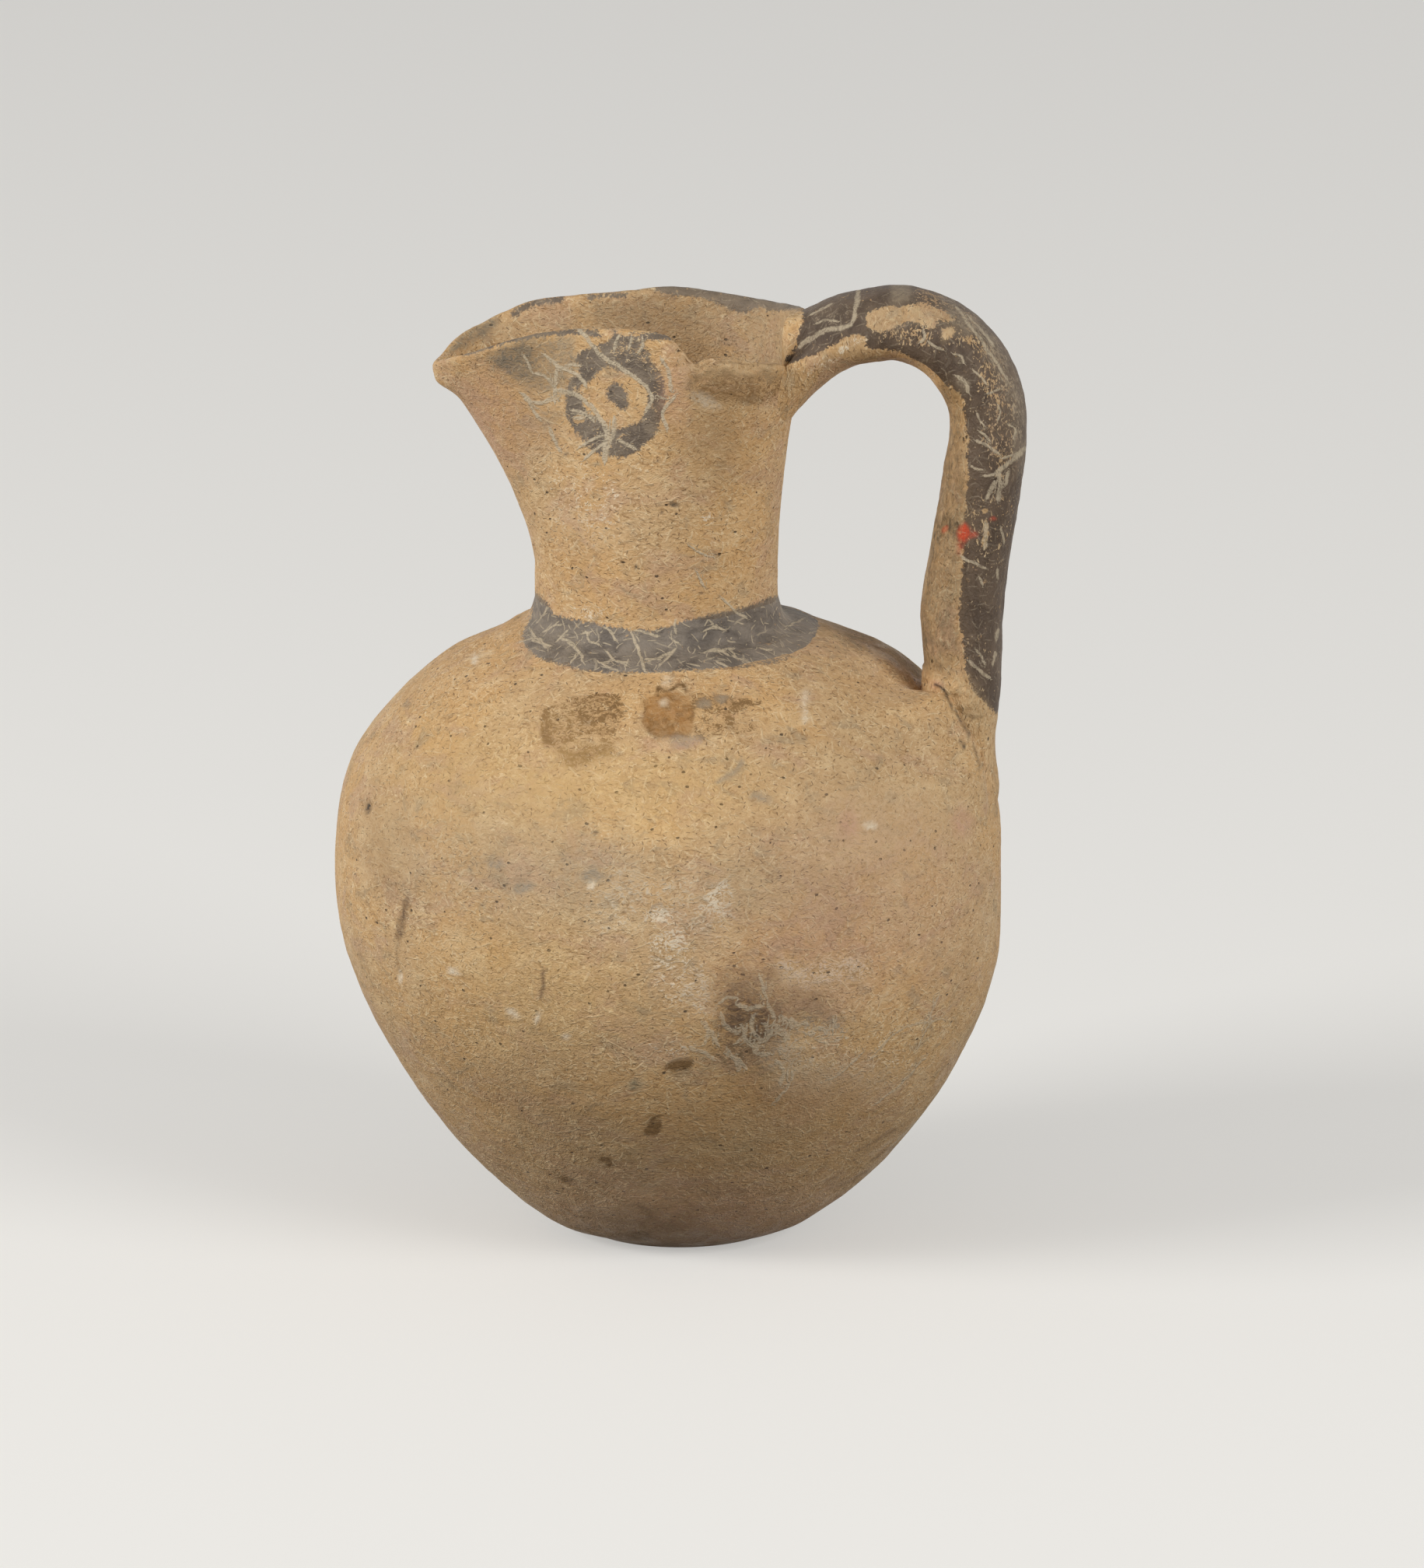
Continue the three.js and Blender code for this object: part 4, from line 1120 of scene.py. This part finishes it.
strapScratches = [
    (4.6, 1104, 372, 1102, 387, 1100, 400, 1097, 413, 1087, 420, 1060, 426, 1034, 440),
    (3.0, 1060, 428, 1040, 434, 1028, 446), (2.4, 1044, 404, 1056, 398, 1070, 392),
    (2.4, 1050, 416, 1062, 412, 1078, 414), (3.0, 1230, 396, 1254, 427, 1276, 458, 1294, 487),
    (2.4, 1244, 404, 1262, 426, 1278, 446), (5.0, 1317, 578, 1302, 592, 1283, 606),
    (4.6, 1285, 604, 1286, 624, 1284, 642), (4.4, 1278, 620, 1270, 640), (3.4, 1297, 608, 1293, 624),
    (3.0, 1284, 606, 1275, 610, 1266, 612), (2.6, 1290, 588, 1300, 586, 1312, 584),
    (3.2, 1257, 568, 1270, 574, 1283, 582), (2.6, 1260, 556, 1266, 560, 1272, 566),
    (2.2, 1299, 548, 1306, 552, 1305, 564), (4.6, 1268, 675, 1268, 690, 1267, 703),
    (2.4, 1288, 680, 1291, 690, 1292, 698), (3.0, 1238, 717, 1250, 724, 1266, 731),
    (2.6, 1259, 744, 1262, 752), (2.4, 1282, 733, 1282, 744), (3.4, 1247, 852, 1258, 860, 1271, 871),
    (2.8, 1283, 810, 1281, 823), (2.8, 1280, 840, 1277, 854), (2.6, 1257, 837, 1262, 844, 1266, 853),
    (3.0, 1188, 424, 1190, 434, 1184, 440), (3.0, 1196, 440, 1204, 446, 1212, 450),
    (2.8, 1228, 455, 1236, 458, 1240, 466), (3.4, 1230, 484, 1240, 490, 1246, 504),
    (2.4, 1252, 476, 1262, 484, 1268, 494), (2.4, 1270, 506, 1284, 500),
    (2.4, 1250, 600, 1256, 604, 1262, 604), (2.4, 1256, 532, 1260, 542, 1266, 548),
    (2.0, 1284, 520, 1288, 530, 1284, 540),
]
strapMarks = [
    # painted shade: the strap's side towards the neck darkened as if shaded by the neck, and a dark line in
    # the crease along it
    patch("shadeAndStain", (0.52, 14, 3), 1214, 486, 1236, 504, 1242, 560, 1246, 620, 1240, 680, 1200, 690,
        1206, 620, 1212, 560),
    patch("shadeAndStain", (0.5, 14, 3), 1242, 670, 1236, 740, 1232, 800, 1240, 856, 1192, 866, 1182, 810,
        1190, 740, 1198, 676),
    stroke("shadeAndStain", (0.4, 6, 3), 10, 1214, 500, 1213, 560, 1206, 640, 1196, 720, 1188, 790, 1192, 850),
    stroke("umber", (0.4, 2, 2), 3, 1223, 556, 1222, 600, 1218, 640, 1212, 690, flecked=0.3),
    # painted highlight: a paler band along the outer edge where light grazes it
    patch("grey", (0.5, 9, 6), 1200, 370, 1240, 392, 1275, 425, 1300, 465, 1316, 510, 1320, 560,
        1312, 610, 1302, 560, 1292, 510, 1274, 470, 1250, 430, 1215, 400, grain=0.5),
    # painted shade: darkens the top of the strap at the bend
    patch("taupe", (0.3, 8, 6), 1112, 398, 1150, 388, 1200, 394, 1250, 414, 1250, 432, 1180, 420,
        1116, 428),
    patch("taupe", (0.75, 5, 4), 1150, 362, 1168, 362, 1171, 384, 1160, 388, 1147, 386),
    spot("taupe", (0.4, 16, 6), 1070, 404, 34, 24, grain=0.8),
    spot("pale", (0.5, 4, 4), 1219, 428, 11, 6, turn=-40, grain=0.5),
    spot("pale", (0.5, 3, 4), 1196, 419, 5, 8, grain=0.5),
    spot("taupe", (0.5, 5, 4), 1236, 463, 9, 10, grain=0.7),
    spot("taupe", (0.55, 5, 4), 1240, 494, 8, 13, turn=-20, grain=0.7),
    # paler lumpy clay of the foot, partly a painted highlight on its lumps
    patch("pale", (0.5, 7, 6), 1232, 876, 1246, 872, 1262, 898, 1278, 914, 1280, 932, 1262, 930,
        1246, 914, 1234, 896, grain=0.6),
    stroke("umber", (0.45, 3, 4), 4, 1240, 915, 1252, 920, 1262, 922),
    patch("chalk", (0.42, 6, 5), 1036, 470, 1060, 458, 1090, 436, 1110, 432, 1112, 442, 1090, 454,
        1066, 470, 1044, 486, grain=1),
    spot("pink", (0.4, 4, 3), 1205, 880, 8, 6),
    patch("red", (0.85, 5, 4), 1236, 680, 1241, 675, 1249, 679, 1258, 684, 1248, 691, 1240, 698,
        1234, 694, flecked=0.1),
    spot("red", (0.5, 2, 1), 1215, 680, 3, 5, turn=30),
    spot("red", (0.35, 4, 2), 1234, 704, 4, 7),
    spot("red", (0.4, 2, 1), 1277, 667, 4, 3),
    # painted shade in the crack beside the foot
    stroke("ink", (0.85, 2, 1), 3, *rootCrack),
]


def roundedSection(count):
    # superellipse with unit half sizes, its points evenly spaced on a strap's proportions
    angle = np.linspace(0, 2 * np.pi, 4000, endpoint=False)
    power = 2 / strap["squareness"]
    u = np.sign(np.cos(angle)) * np.abs(np.cos(angle)) ** power
    v = np.sign(np.sin(angle)) * np.abs(np.sin(angle)) ** power
    sized = np.stack([u * strap["thickness"], v * strap["width"]], axis=1)
    even = evenlySpaced(sized, count, closed=True)
    return even[:, 0] / strap["thickness"], even[:, 1] / strap["width"]


def strapPath():
    # centre line in the jug's middle plane, and its direction
    startX, startZ = strap["start"]
    footX = bodyRadius(strap["footHeight"]) + leanAt(strap["footHeight"])
    upper = np.array(strap["upper"]) + (startX, startZ)
    lower = np.array(strap["lower"]) + (footX, strap["footHeight"])
    line = evenlySpaced(smoothCurve(np.vstack([upper, lower]), 2000), strap["rows"])
    return line, unit(np.gradient(line, axis=0))


def strapRing(centre, outward, share, u, v):
    # centre + outward * u * the half thickness of that side, and v * half width to the side
    outer = np.interp(share, *np.array(strap["outerHalf"]).T)
    inner = np.interp(share, *np.array(strap["innerHalf"]).T)
    away = u * (inner + (outer - inner) * smoothStep(-0.5, 0.5, u))
    x, height = centre[0] + outward[0] * away, centre[1] + outward[1] * away
    return np.stack([x, v * strap["width"] / 2, height], axis=-1)


def padGrid(startRing, startRun, printRing, printRun, pad, u):
    # cubic curves from the strap's end, along its run, to the print on the wall. How far they keep
    # their direction at each end goes from the inner side's value to the outer side's
    pull = np.linalg.norm(printRing - startRing, axis=1, keepdims=True)
    side = smoothStep(-0.9, 0.3, u)[:, None]
    leave = startRing + startRun * pull * (pad["leave"][0] * (1 - side) + pad["leave"][1] * side)
    land = printRing - printRun * pull * (pad["land"][0] * (1 - side) + pad["land"][1] * side)
    share = np.linspace(0, 1, strap["padRows"])[:, None, None]
    return (
        (1 - share) ** 3 * startRing
        + 3 * (1 - share) ** 2 * share * leave
        + 3 * (1 - share) * share**2 * land
        + share**3 * printRing
    )


def upperPrint(u, v):
    # the pad's edge on the neck's back, running over the lip where u is near 1
    pad = strap["upperPad"]
    side = v * pad["halfWidth"] * (1 - strap["nearNarrow"] * smoothStep(0, 1, -v) * smoothStep(-0.2, 0.6, u))
    middle = strap["start"][1] + (pad["top"] + pad["bottom"]) / 2
    height = middle + u * (pad["top"] - pad["bottom"]) / 2
    height = height - strap["nearDrop"] * smoothStep(0.2, 1, -v) * smoothStep(0, 0.8, u)
    rise = np.maximum(height - body["seatHeight"] - neck["flareFrom"], 0)
    back = strap["start"][0] - neckAxis
    flare = np.minimum(rise / (neck["rim"][-1][2] - neck["flareFrom"]), 1) ** neck["flarePower"]
    radius = neck["radius"] + (back - neck["radius"]) * flare
    overLip = smoothStep(*strap["overLip"], u)
    x = neckAxis + np.sqrt(radius**2 - side**2) - strap["sunk"] * (1 - overLip)
    x = x - overLip * (neck["lip"] + strap["lipOverlap"])
    least, more, power = strap["lipDrop"]
    height = height - overLip * (more * (np.abs(side) / pad["halfWidth"]) ** power + least)
    ring = np.stack([x, side, height], axis=-1)
    run = unit((ring - ring.mean(axis=0)) * (0, 1, 1))
    run = run * (1 - overLip)[:, None] + np.array([-1.0, 0, -0.12]) * overLip[:, None]
    return ring, run


def lowerPrint(u, v):
    # the pad's edge on the shoulder: the strap's outer side runs down to the bottom of the print
    pad = strap["lowerPad"]
    side = v * pad["halfWidth"] * (1 - strap["footNarrow"] * smoothStep(0, 1, -v) * smoothStep(-0.2, 0.9, u))
    middle = strap["footHeight"] + (pad["top"] + pad["bottom"]) / 2
    height = middle - u * (pad["top"] - pad["bottom"]) / 2
    x = leanAt(height) + np.sqrt(bodyRadius(height) ** 2 - side**2)
    ring = np.stack([x, side, height], axis=-1)
    return ring + np.array([-0.9, 0, -0.44]) * strap["sunk"], unit(ring - ring.mean(axis=0))


def makeStrap():
    u, v = roundedSection(strap["columns"])
    line, run = strapPath()
    outward = np.stack([-run[:, 1], run[:, 0]], axis=1)
    shares = np.linspace(0, 1, len(line))
    middleGrid = np.stack([strapRing(*ring, u, v) for ring in zip(line, outward, shares)])
    startRun, endRun = (np.array([way[0], 0, way[1]]) for way in (-run[0], run[-1]))
    upperGrid = padGrid(middleGrid[0], startRun, *upperPrint(u, v), strap["upperPad"], u)[::-1]
    lowerGrid = padGrid(middleGrid[-1], endRun, *lowerPrint(u, v), strap["lowerPad"], u)
    swell = strap["footSwell"]
    swollen = np.exp(-((lowerGrid[..., 2] - swell["at"]) / swell["tall"]) ** 2)
    landed = 1 - smoothStep(swell["land"], 1, np.linspace(0, 1, strap["padRows"]))[:, None]
    lowerGrid[..., 0] += swell["out"] * swollen * smoothStep(0, 0.8, u) * landed
    grid = np.concatenate([upperGrid[:-1], middleGrid, lowerGrid[1:]])
    normals = -gridNormals(grid)
    place = photoPlace(grid)
    facing = facingShare(normals, grid)
    rows = np.arange(len(grid))[:, None]
    fade = smoothStep(0, strap["fadeRows"], rows) * smoothStep(0, strap["fadeRows"], len(grid) - 1 - rows)
    padStart = len(grid) - strap["padRows"]
    beside = smoothStep(1, 8, -insideDistance(place, strapPaint))
    chapped = beside * smoothStep(padStart - 8, padStart + 10, rows)
    deep, *form = strap["chap"]
    chaps = deep * chapped * layeredNoise(grid, *form) * (1 - smoothStep(0.2, 0.9, u))
    grid = grid + normals * ((unevenness(grid, strap) + chaps) * fade)[..., None]
    place = photoPlace(grid)
    mirrored = photoPlace(grid * (1, -1, 1))
    hidden = (facing < 0.5) & (grid[..., 1] > 0)
    pixels, *form = strap["paintWobble"]
    paintPlace = np.where(hidden[..., None], mirrored, place) + pixels * noisePair(grid, *form)
    painted = np.where(u < strap["bareBelow"], -3 * slipSpread, insideDistance(paintPlace, strapPaint))
    painted = np.minimum(painted, np.where(facing > 0.5, -outlineDistance(paintPlace, strapBare), 1e3))
    fields = stainFields(grid, place, facing, strapMarks, 35)
    fields["slip"] = slipFrom(painted)
    fields["worn"] = wornField(grid, place, facing, strapWear, 37)
    fields["scratch"] = scratchField(grid, place, facing, strapScratches, 44, 0.75)
    cuts = np.cumsum([0, strap["padRows"] - 1, strap["rows"] - 1, strap["padRows"] - 1])
    pieces = []
    for name, first, last in zip(("upper_pad", "handle_strap", "lower_pad"), cuts[:-1], cuts[1:]):
        part = {key: value[first:last + 1][::-1] for key, value in fields.items()}
        pieces.append(makePiece(name, grid[first:last + 1][::-1], part))
    return pieces


# materials


class Wire:
    # an output of a shader node; sums and products with it make more nodes
    def __init__(self, socket):
        self.socket = socket

    def __add__(self, other):
        return calc("ADD", self, other)

    def __sub__(self, other):
        return calc("SUBTRACT", self, other)

    def __rsub__(self, other):
        return calc("SUBTRACT", other, self)

    def __mul__(self, other):
        return calc("MULTIPLY", self, other)


def feed(node, inputs):
    # each input takes a wire or a fixed value
    for key, value in inputs.items():
        if isinstance(value, Wire):
            node.id_data.links.new(value.socket, node.inputs[key])
        else:
            node.inputs[key].default_value = value


def addNode(tree, kind, inputs, **settings):
    # a node's outputs by name; a wire in place of the tree stands for the tree that it is in
    node = (tree.socket.id_data if isinstance(tree, Wire) else tree).nodes.new(kind)
    for key, value in settings.items():
        setattr(node, key, value)
    feed(node, inputs)
    return {output.identifier: Wire(output) for output in node.outputs}


def calc(operation, *values, clamp=False):
    wire = next(value for value in values if isinstance(value, Wire))
    inputs = dict(enumerate(values))
    return addNode(wire, "ShaderNodeMath", inputs, operation=operation, use_clamp=clamp)["Value"]


def vectorCalc(operation, *values):
    outputs = addNode(values[0], "ShaderNodeVectorMath", dict(enumerate(values)), operation=operation)
    return outputs["Value" if operation == "DOT_PRODUCT" else "Vector"]


def between(value, low, high, start=0.0, end=1.0, form="SMOOTHSTEP"):
    # value from low to high becomes start to end, with soft ends unless form is LINEAR
    inputs = dict(enumerate((value, low, high, start, end)))
    return addNode(value, "ShaderNodeMapRange", inputs, interpolation_type=form)["Result"]


def mixed(share, under, over):
    # under where share is 0, over where it is 1
    under, over = (colour if isinstance(colour, Wire) else (*colour, 1) for colour in (under, over))
    return addNode(share, "ShaderNodeMix", {0: share, 6: under, 7: over}, data_type="RGBA")["Result_Color"]


def noiseOf(place, size, detail, rough, distortion, offset):
    # noise whose features are about size millimetres wide
    return addNode(place, "ShaderNodeTexNoise", {
        "Vector": vectorCalc("ADD", place, (offset, offset * 0.7, offset * 1.3)),
        "Scale": 1 / (size * metre), "Detail": detail, "Roughness": rough, "Distortion": distortion,
    })["Fac"]


def dashes(place, normal, cell, width, length, kept, offset):
    # short strokes: each cell's own random direction, laid along the surface. Across the stroke the
    # value falls from 1 to 0 over width, and along it over length, in millimetres
    moved = vectorCalc("ADD", place, (offset, -offset, offset * 0.6))
    cells = addNode(place, "ShaderNodeTexVoronoi", {"Vector": moved, "Scale": 1 / (cell * metre)})
    away = vectorCalc("SUBTRACT", moved, cells["Position"])
    chance = vectorCalc("SUBTRACT", cells["Color"], (0.5, 0.5, 0.5))
    along = vectorCalc("NORMALIZE", vectorCalc("CROSS_PRODUCT", normal, chance))
    across = vectorCalc("CROSS_PRODUCT", normal, along)
    alongBy = calc("ABSOLUTE", vectorCalc("DOT_PRODUCT", away, along))
    acrossBy = calc("ABSOLUTE", vectorCalc("DOT_PRODUCT", away, across))
    thin = between(acrossBy, width * metre, width * 0.35 * metre)
    short = between(alongBy, length * metre, length * 0.5 * metre)
    chosen = addNode(place, "ShaderNodeSeparateColor", {"Color": cells["Color"]})["Red"]
    return thin * short * calc("LESS_THAN", chosen, kept)


clay = dict(
    base=tone(196, 161, 117),
    ochre=tone(204, 162, 109),
    rosy=tone(190, 154, 120),
    pale=tone(222, 192, 146),
    brown=tone(154, 118, 76),
    greyed=tone(164, 142, 112),
    low=tone(148, 121, 88),  # browner towards the foot
    straw=tone(228, 202, 160),
    fleck=tone(100, 76, 50),
    pit=tone(56, 44, 32),
    roughness=(0.5, 0.7),
    specular=0.25,
    noises=dict(  # place, feature size in millimetres, detail, roughness, distortion, offset
        broad=("plain", 24, 3, 0.55, 0.4, 0),
        patchy=("swept", 12, 3, 0.6, 0.8, 0.21),
        middling=("swept", 5.5, 4, 0.6, 0.8, 0.31),
        uneven=("swept", 16, 3, 0.6, 0.5, 0.77),
        small=("bent", 1.6, 3, 0.6, 0.5, 0.57),
        fine=("plain", 0.45, 2, 0.6, 0.0, 0.83),
        swirl=("swept", 1.9, 3, 0.6, 1.8, 0.43),
        thread=("swept", 0.9, 2, 0.6, 1.5, 0.67),
    ),
    layers=[  # noise, its values with none and with most of the tone, most, tone, strength varied or not
        ("broad", 0.42, 0.62, 0.85, "ochre", False),
        ("patchy", 0.5, 0.66, 0.8, "rosy", False),
        ("patchy", 0.45, 0.3, 0.4, "pale", False),
        ("middling", 0.53, 0.7, 0.7, "greyed", False),
        ("middling", 0.46, 0.3, 0.45, "pale", False),
        ("height", 0.075, 0.008, 0.6, "low", False),
        ("swirl", 0.54, 0.72, 0.75, "pale", True),
        ("swirl", 0.45, 0.28, 0.7, "brown", True),
        ("thread", 0.55, 0.72, 0.78, "straw", True),
        ("thread", 0.44, 0.28, 0.85, "brown", False),
    ],
    strokes=dict(  # place, cell, width and length in millimetres, share of cells, offset
        strawThin=("swept", 2.0, 0.13, 1.1, 0.5, 0.11),
        strawThick=("swept", 4.2, 0.22, 2.0, 0.4, 0.37),
        fleckThin=("swept", 1.7, 0.13, 0.5, 0.6, 0.53),
        rootWide=("bent", 4.6, 0.24, 2.0, 0.6, 0.71),
        rootThin=("bent", 1.9, 0.14, 1.0, 0.75, 0.93),
    ),
    varied=(0.4, 0.6, 0.55, 1.25),  # the uneven noise from and to, and what it multiplies strength by
    strawCover=(0.62, 0.5),
    fleckCover=0.8,
    pitCell=4.0,
    pitEdge=(0.115, 0.08),
    pitCover=0.85,
    bend=(2.4, 0.0008),  # feature size in millimetres and reach in metres of the bent places
    bump=(0.85, 0.0004),
)
slipFinish = dict(
    coil=dict(
        dark=tone(98, 89, 80), light=tone(132, 121, 108), wear=0.22, edge=(0.42, 0.62),
        sweep=(1.0, 1.0, 1.6), wide=0.4, thin=0.7,
    ),
    handle=dict(
        dark=tone(78, 63, 50), light=tone(102, 85, 69), wear=0.2, edge=(0.45, 0.57),
        sweep=(1.5, 1.5, 0.8), wide=0.08, thin=0.2,
    ),
    neck=dict(
        dark=tone(101, 88, 75), light=tone(130, 115, 97), wear=0.24, edge=(0.4, 0.66),
        sweep=(1.0, 1.0, 1.6), wide=0.12, thin=0.3,
    ),
    rootMark=tone(196, 179, 151),
    roughness=0.55,
)


def rootMarks(stored, fine, thread):
    # the named marks: where the stored side distance is within the half width, near a mark
    parts = addNode(fine, "ShaderNodeSeparateColor", {"Color": stored})
    across = calc("ABSOLUTE", parts["Red"] - 0.5) * 8.0 + (fine - 0.5) * 1.6
    shown = between(across, 1.4, 0.6) * between(parts["Green"], 0.35, 0.6)
    return shown * between(thread, 0.34, 0.52, 0.45, 1.0) * parts["Blue"]


def clayColour(swept, noise, strokes):
    # mottling at several sizes, swirled pale and brown fibres, straw strokes, flecks and pits
    colour = clay["base"]
    varied = between(noise["uneven"], *clay["varied"])
    for key, none, full, most, tint, vary in clay["layers"]:
        share = between(noise[key], none, full, 0, most)
        colour = mixed(share * varied if vary else share, colour, clay[tint])
    thin, thick = clay["strawCover"]
    straw = calc("MAXIMUM", strokes["strawThin"] * thin, strokes["strawThick"] * thick)
    colour = mixed(straw, colour, clay["straw"])
    colour = mixed(strokes["fleckThin"] * clay["fleckCover"], colour, clay["fleck"])
    pits = addNode(swept, "ShaderNodeTexVoronoi", {"Vector": swept, "Scale": 1 / (clay["pitCell"] * metre)})
    pitted = between(pits["Distance"] + noise["fine"] * 0.05, *clay["pitEdge"])
    colour = mixed(pitted * clay["pitCover"], colour, clay["pit"])
    relief = noise["fine"] * 0.35 + noise["small"] * 0.4 + noise["swirl"] * 0.7 + noise["thread"] * 0.5
    return colour, relief + straw * 0.25 - pitted * 0.9


def slipCover(stored, lost, noise, finish):
    # how much paint is on the clay: ragged at its edge, thin in places, flaked where marks say so
    small, fine = noise["small"], noise["fine"]
    slip = between(stored + (small * 0.5 + fine * 0.9 - 0.7), *finish["edge"])
    worn = between(small + fine * 0.25, 1.0 - finish["wear"], 1.08 - finish["wear"], 0, 0.8)
    flaked = between(lost * 0.5 + (noise["thread"] + fine * 0.3), 0.87, 0.93) * between(lost, 0.03, 0.12)
    return slip * (1.0 - worn) * (1.0 - flaked * 0.75)


def stainCover(laid, grain, noise):
    # uneven where a mark has no grain, broken into threads where it has
    uneven = (noise["swirl"] + noise["small"] * 0.7 - 0.85) * 2.2
    smooth = calc("MULTIPLY", laid, uneven + 1.0, clamp=True)
    threads = between(laid + (noise["thread"] * 1.5 + noise["swirl"] * 0.9 - 1.2), 0.42, 0.7)
    return between(grain, 0.0, 1.0, smooth, threads, form="LINEAR")


def firedClay(name, finish):
    # buff clay under worn painted slip, with stains and root marks over both
    material = bpy.data.materials.new(name)
    material.use_nodes = True
    tree = material.node_tree
    place = addNode(tree, "ShaderNodeTexCoord", {})["Object"]
    normal = addNode(tree, "ShaderNodeNewGeometry", {})["Normal"]
    size, reach = clay["bend"]
    bend = addNode(tree, "ShaderNodeTexNoise", {"Vector": place, "Scale": 1 / (size * metre), "Detail": 1.0})
    bentBy = vectorCalc("MULTIPLY", vectorCalc("SUBTRACT", bend["Color"], (0.5, 0.5, 0.5)), (reach,) * 3)
    bent = vectorCalc("ADD", place, bentBy)
    places = dict(plain=place, bent=bent, swept=vectorCalc("MULTIPLY", bent, finish["sweep"]))
    noise = {key: noiseOf(places[kind], *form) for key, (kind, *form) in clay["noises"].items()}
    noise["height"] = addNode(tree, "ShaderNodeSeparateXYZ", {0: place})["Z"] + noise["middling"] * 0.02
    strokes = {key: dashes(places[kind], normal, *form) for key, (kind, *form) in clay["strokes"].items()}
    stored = {
        key: addNode(tree, "ShaderNodeAttribute", {}, attribute_name=key)
        for key in ("slip", "worn", "stain", "grain", "scratch")
    }

    colour, relief = clayColour(places["swept"], noise, strokes)
    slip = slipCover(stored["slip"]["Fac"], stored["worn"]["Fac"], noise, finish)
    slipColour = mixed(between(noise["middling"], 0.35, 0.65), finish["dark"], finish["light"])
    slipColour = mixed(between(noise["thread"], 0.5, 0.75, 0, 0.5), slipColour, finish["light"])
    colour = mixed(slip, colour, slipColour)

    laid = stored["stain"]["Alpha"]
    stainScale = calc("DIVIDE", 1.0, calc("MAXIMUM", laid, 0.001))
    stainInputs = {0: stored["stain"]["Color"], "Scale": stainScale}
    stainColour = addNode(tree, "ShaderNodeVectorMath", stainInputs, operation="SCALE")["Vector"]
    colour = mixed(stainCover(laid, stored["grain"]["Fac"], noise), colour, stainColour)

    roots = calc("MAXIMUM", strokes["rootWide"] * finish["wide"], strokes["rootThin"] * finish["thin"])
    named = rootMarks(stored["scratch"]["Color"], noise["fine"], noise["thread"])
    marks = calc("MAXIMUM", roots * slip, named)
    colour = mixed(marks, colour, slipFinish["rootMark"])

    clayRoughness = between(noise["middling"], 0.35, 0.65, *clay["roughness"])
    strength, distance = clay["bump"]
    bumped = {"Height": relief + marks * 0.3, "Strength": strength, "Distance": distance}
    feed(tree.nodes["Principled BSDF"], {
        "Base Color": colour,
        "Roughness": between(slip, 0.0, 1.0, clayRoughness, slipFinish["roughness"], form="LINEAR"),
        "Specular IOR Level": clay["specular"],
        "Normal": addNode(tree, "ShaderNodeBump", bumped)["Normal"],
    })
    return material


# studio

studio = dict(
    floorTone=tone(190, 188, 183),
    floorGlow=0.38,  # added for the camera and in reflections only, so that the floor stays pale far off
    glowTone=(1, 0.985, 0.955, 1),
    floorRoughness=0.95,
    bounceTone=tone(50, 51, 50),  # what the floor sends back up to the jug
    floorSize=8.0,
    world=0.19,
    worldSeen=0.8,
    lamps=[  # place in metres, width, power in watts
        ((-1.65, -0.95, 0.8), 0.9, 35.5),
        ((1.5, -1.0, 0.8), 1.0, 26.0),
    ],
    lampAim=(0, 0, 0.08),
)


def seenShare(tree):
    # 1 for rays from the camera, in reflections and through glass, 0 for rays that carry light
    rays = addNode(tree, "ShaderNodeLightPath", {})
    seen = calc("MAXIMUM", rays["Is Camera Ray"], rays["Is Glossy Ray"])
    return calc("MAXIMUM", seen, rays["Is Transmission Ray"])


def makeStudio():
    # a flat floor under a pale sky, and the lamps
    half = studio["floorSize"] / 2
    mesh = bpy.data.meshes.new("studio_floor")
    corners = [(-half, -half, 0), (half, -half, 0), (half, half, 0), (-half, half, 0)]
    mesh.from_pydata(corners, [], [(0, 1, 2, 3)])
    floor = addObject("studio_floor", mesh)
    paper = bpy.data.materials.new("pale_paper")
    paper.use_nodes = True
    seen = seenShare(paper.node_tree)
    feed(paper.node_tree.nodes["Principled BSDF"], {
        "Base Color": mixed(seen, studio["bounceTone"], studio["floorTone"]),
        "Emission Color": studio["glowTone"],
        "Emission Strength": seen * studio["floorGlow"],
        "Roughness": studio["floorRoughness"],
    })
    mesh.materials.append(paper)
    for place, width, power in studio["lamps"]:
        light = bpy.data.lights.new("soft_lamp", "AREA")
        light.size = width
        light.energy = power
        lamp = addObject("soft_lamp", light)
        away = Vector(place) - Vector(studio["lampAim"])
        lamp.rotation_euler = away.to_track_quat("Z", "Y").to_euler()
        lamp.location = place
    world = bpy.data.worlds.new("studio_world")
    world.use_nodes = True
    feed(world.node_tree.nodes["Background"], {
        "Color": (1, 1, 1, 1),
        "Strength": between(seenShare(world.node_tree), 0, 1, studio["world"], studio["worldSeen"]),
    })
    bpy.context.scene.world = world
    bpy.context.scene.view_settings.view_transform = "Standard"
    print("studio lit")


def dress(piece, node, material):
    piece.data.materials.append(material)
    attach(piece, "root")
    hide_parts(node)


makeCamera()
makeStudio()
neckClay = firedClay("painted_buff_clay", slipFinish["neck"])
coilSlip = firedClay("grey_black_slip", slipFinish["coil"])
handleSlip = firedClay("brown_black_slip", slipFinish["handle"])
dress(makeBody(), "body", neckClay)
dress(makeNeck(), "neck", neckClay)
dress(makeCoil(), "neck_coil", coilSlip)
upperPad, handleStrap, lowerPad = makeStrap()
dress(upperPad, "upper_handle_pad", handleSlip)
dress(handleStrap, "handle", handleSlip)
dress(lowerPad, "lower_handle_pad", handleSlip)
print("pieces dressed")
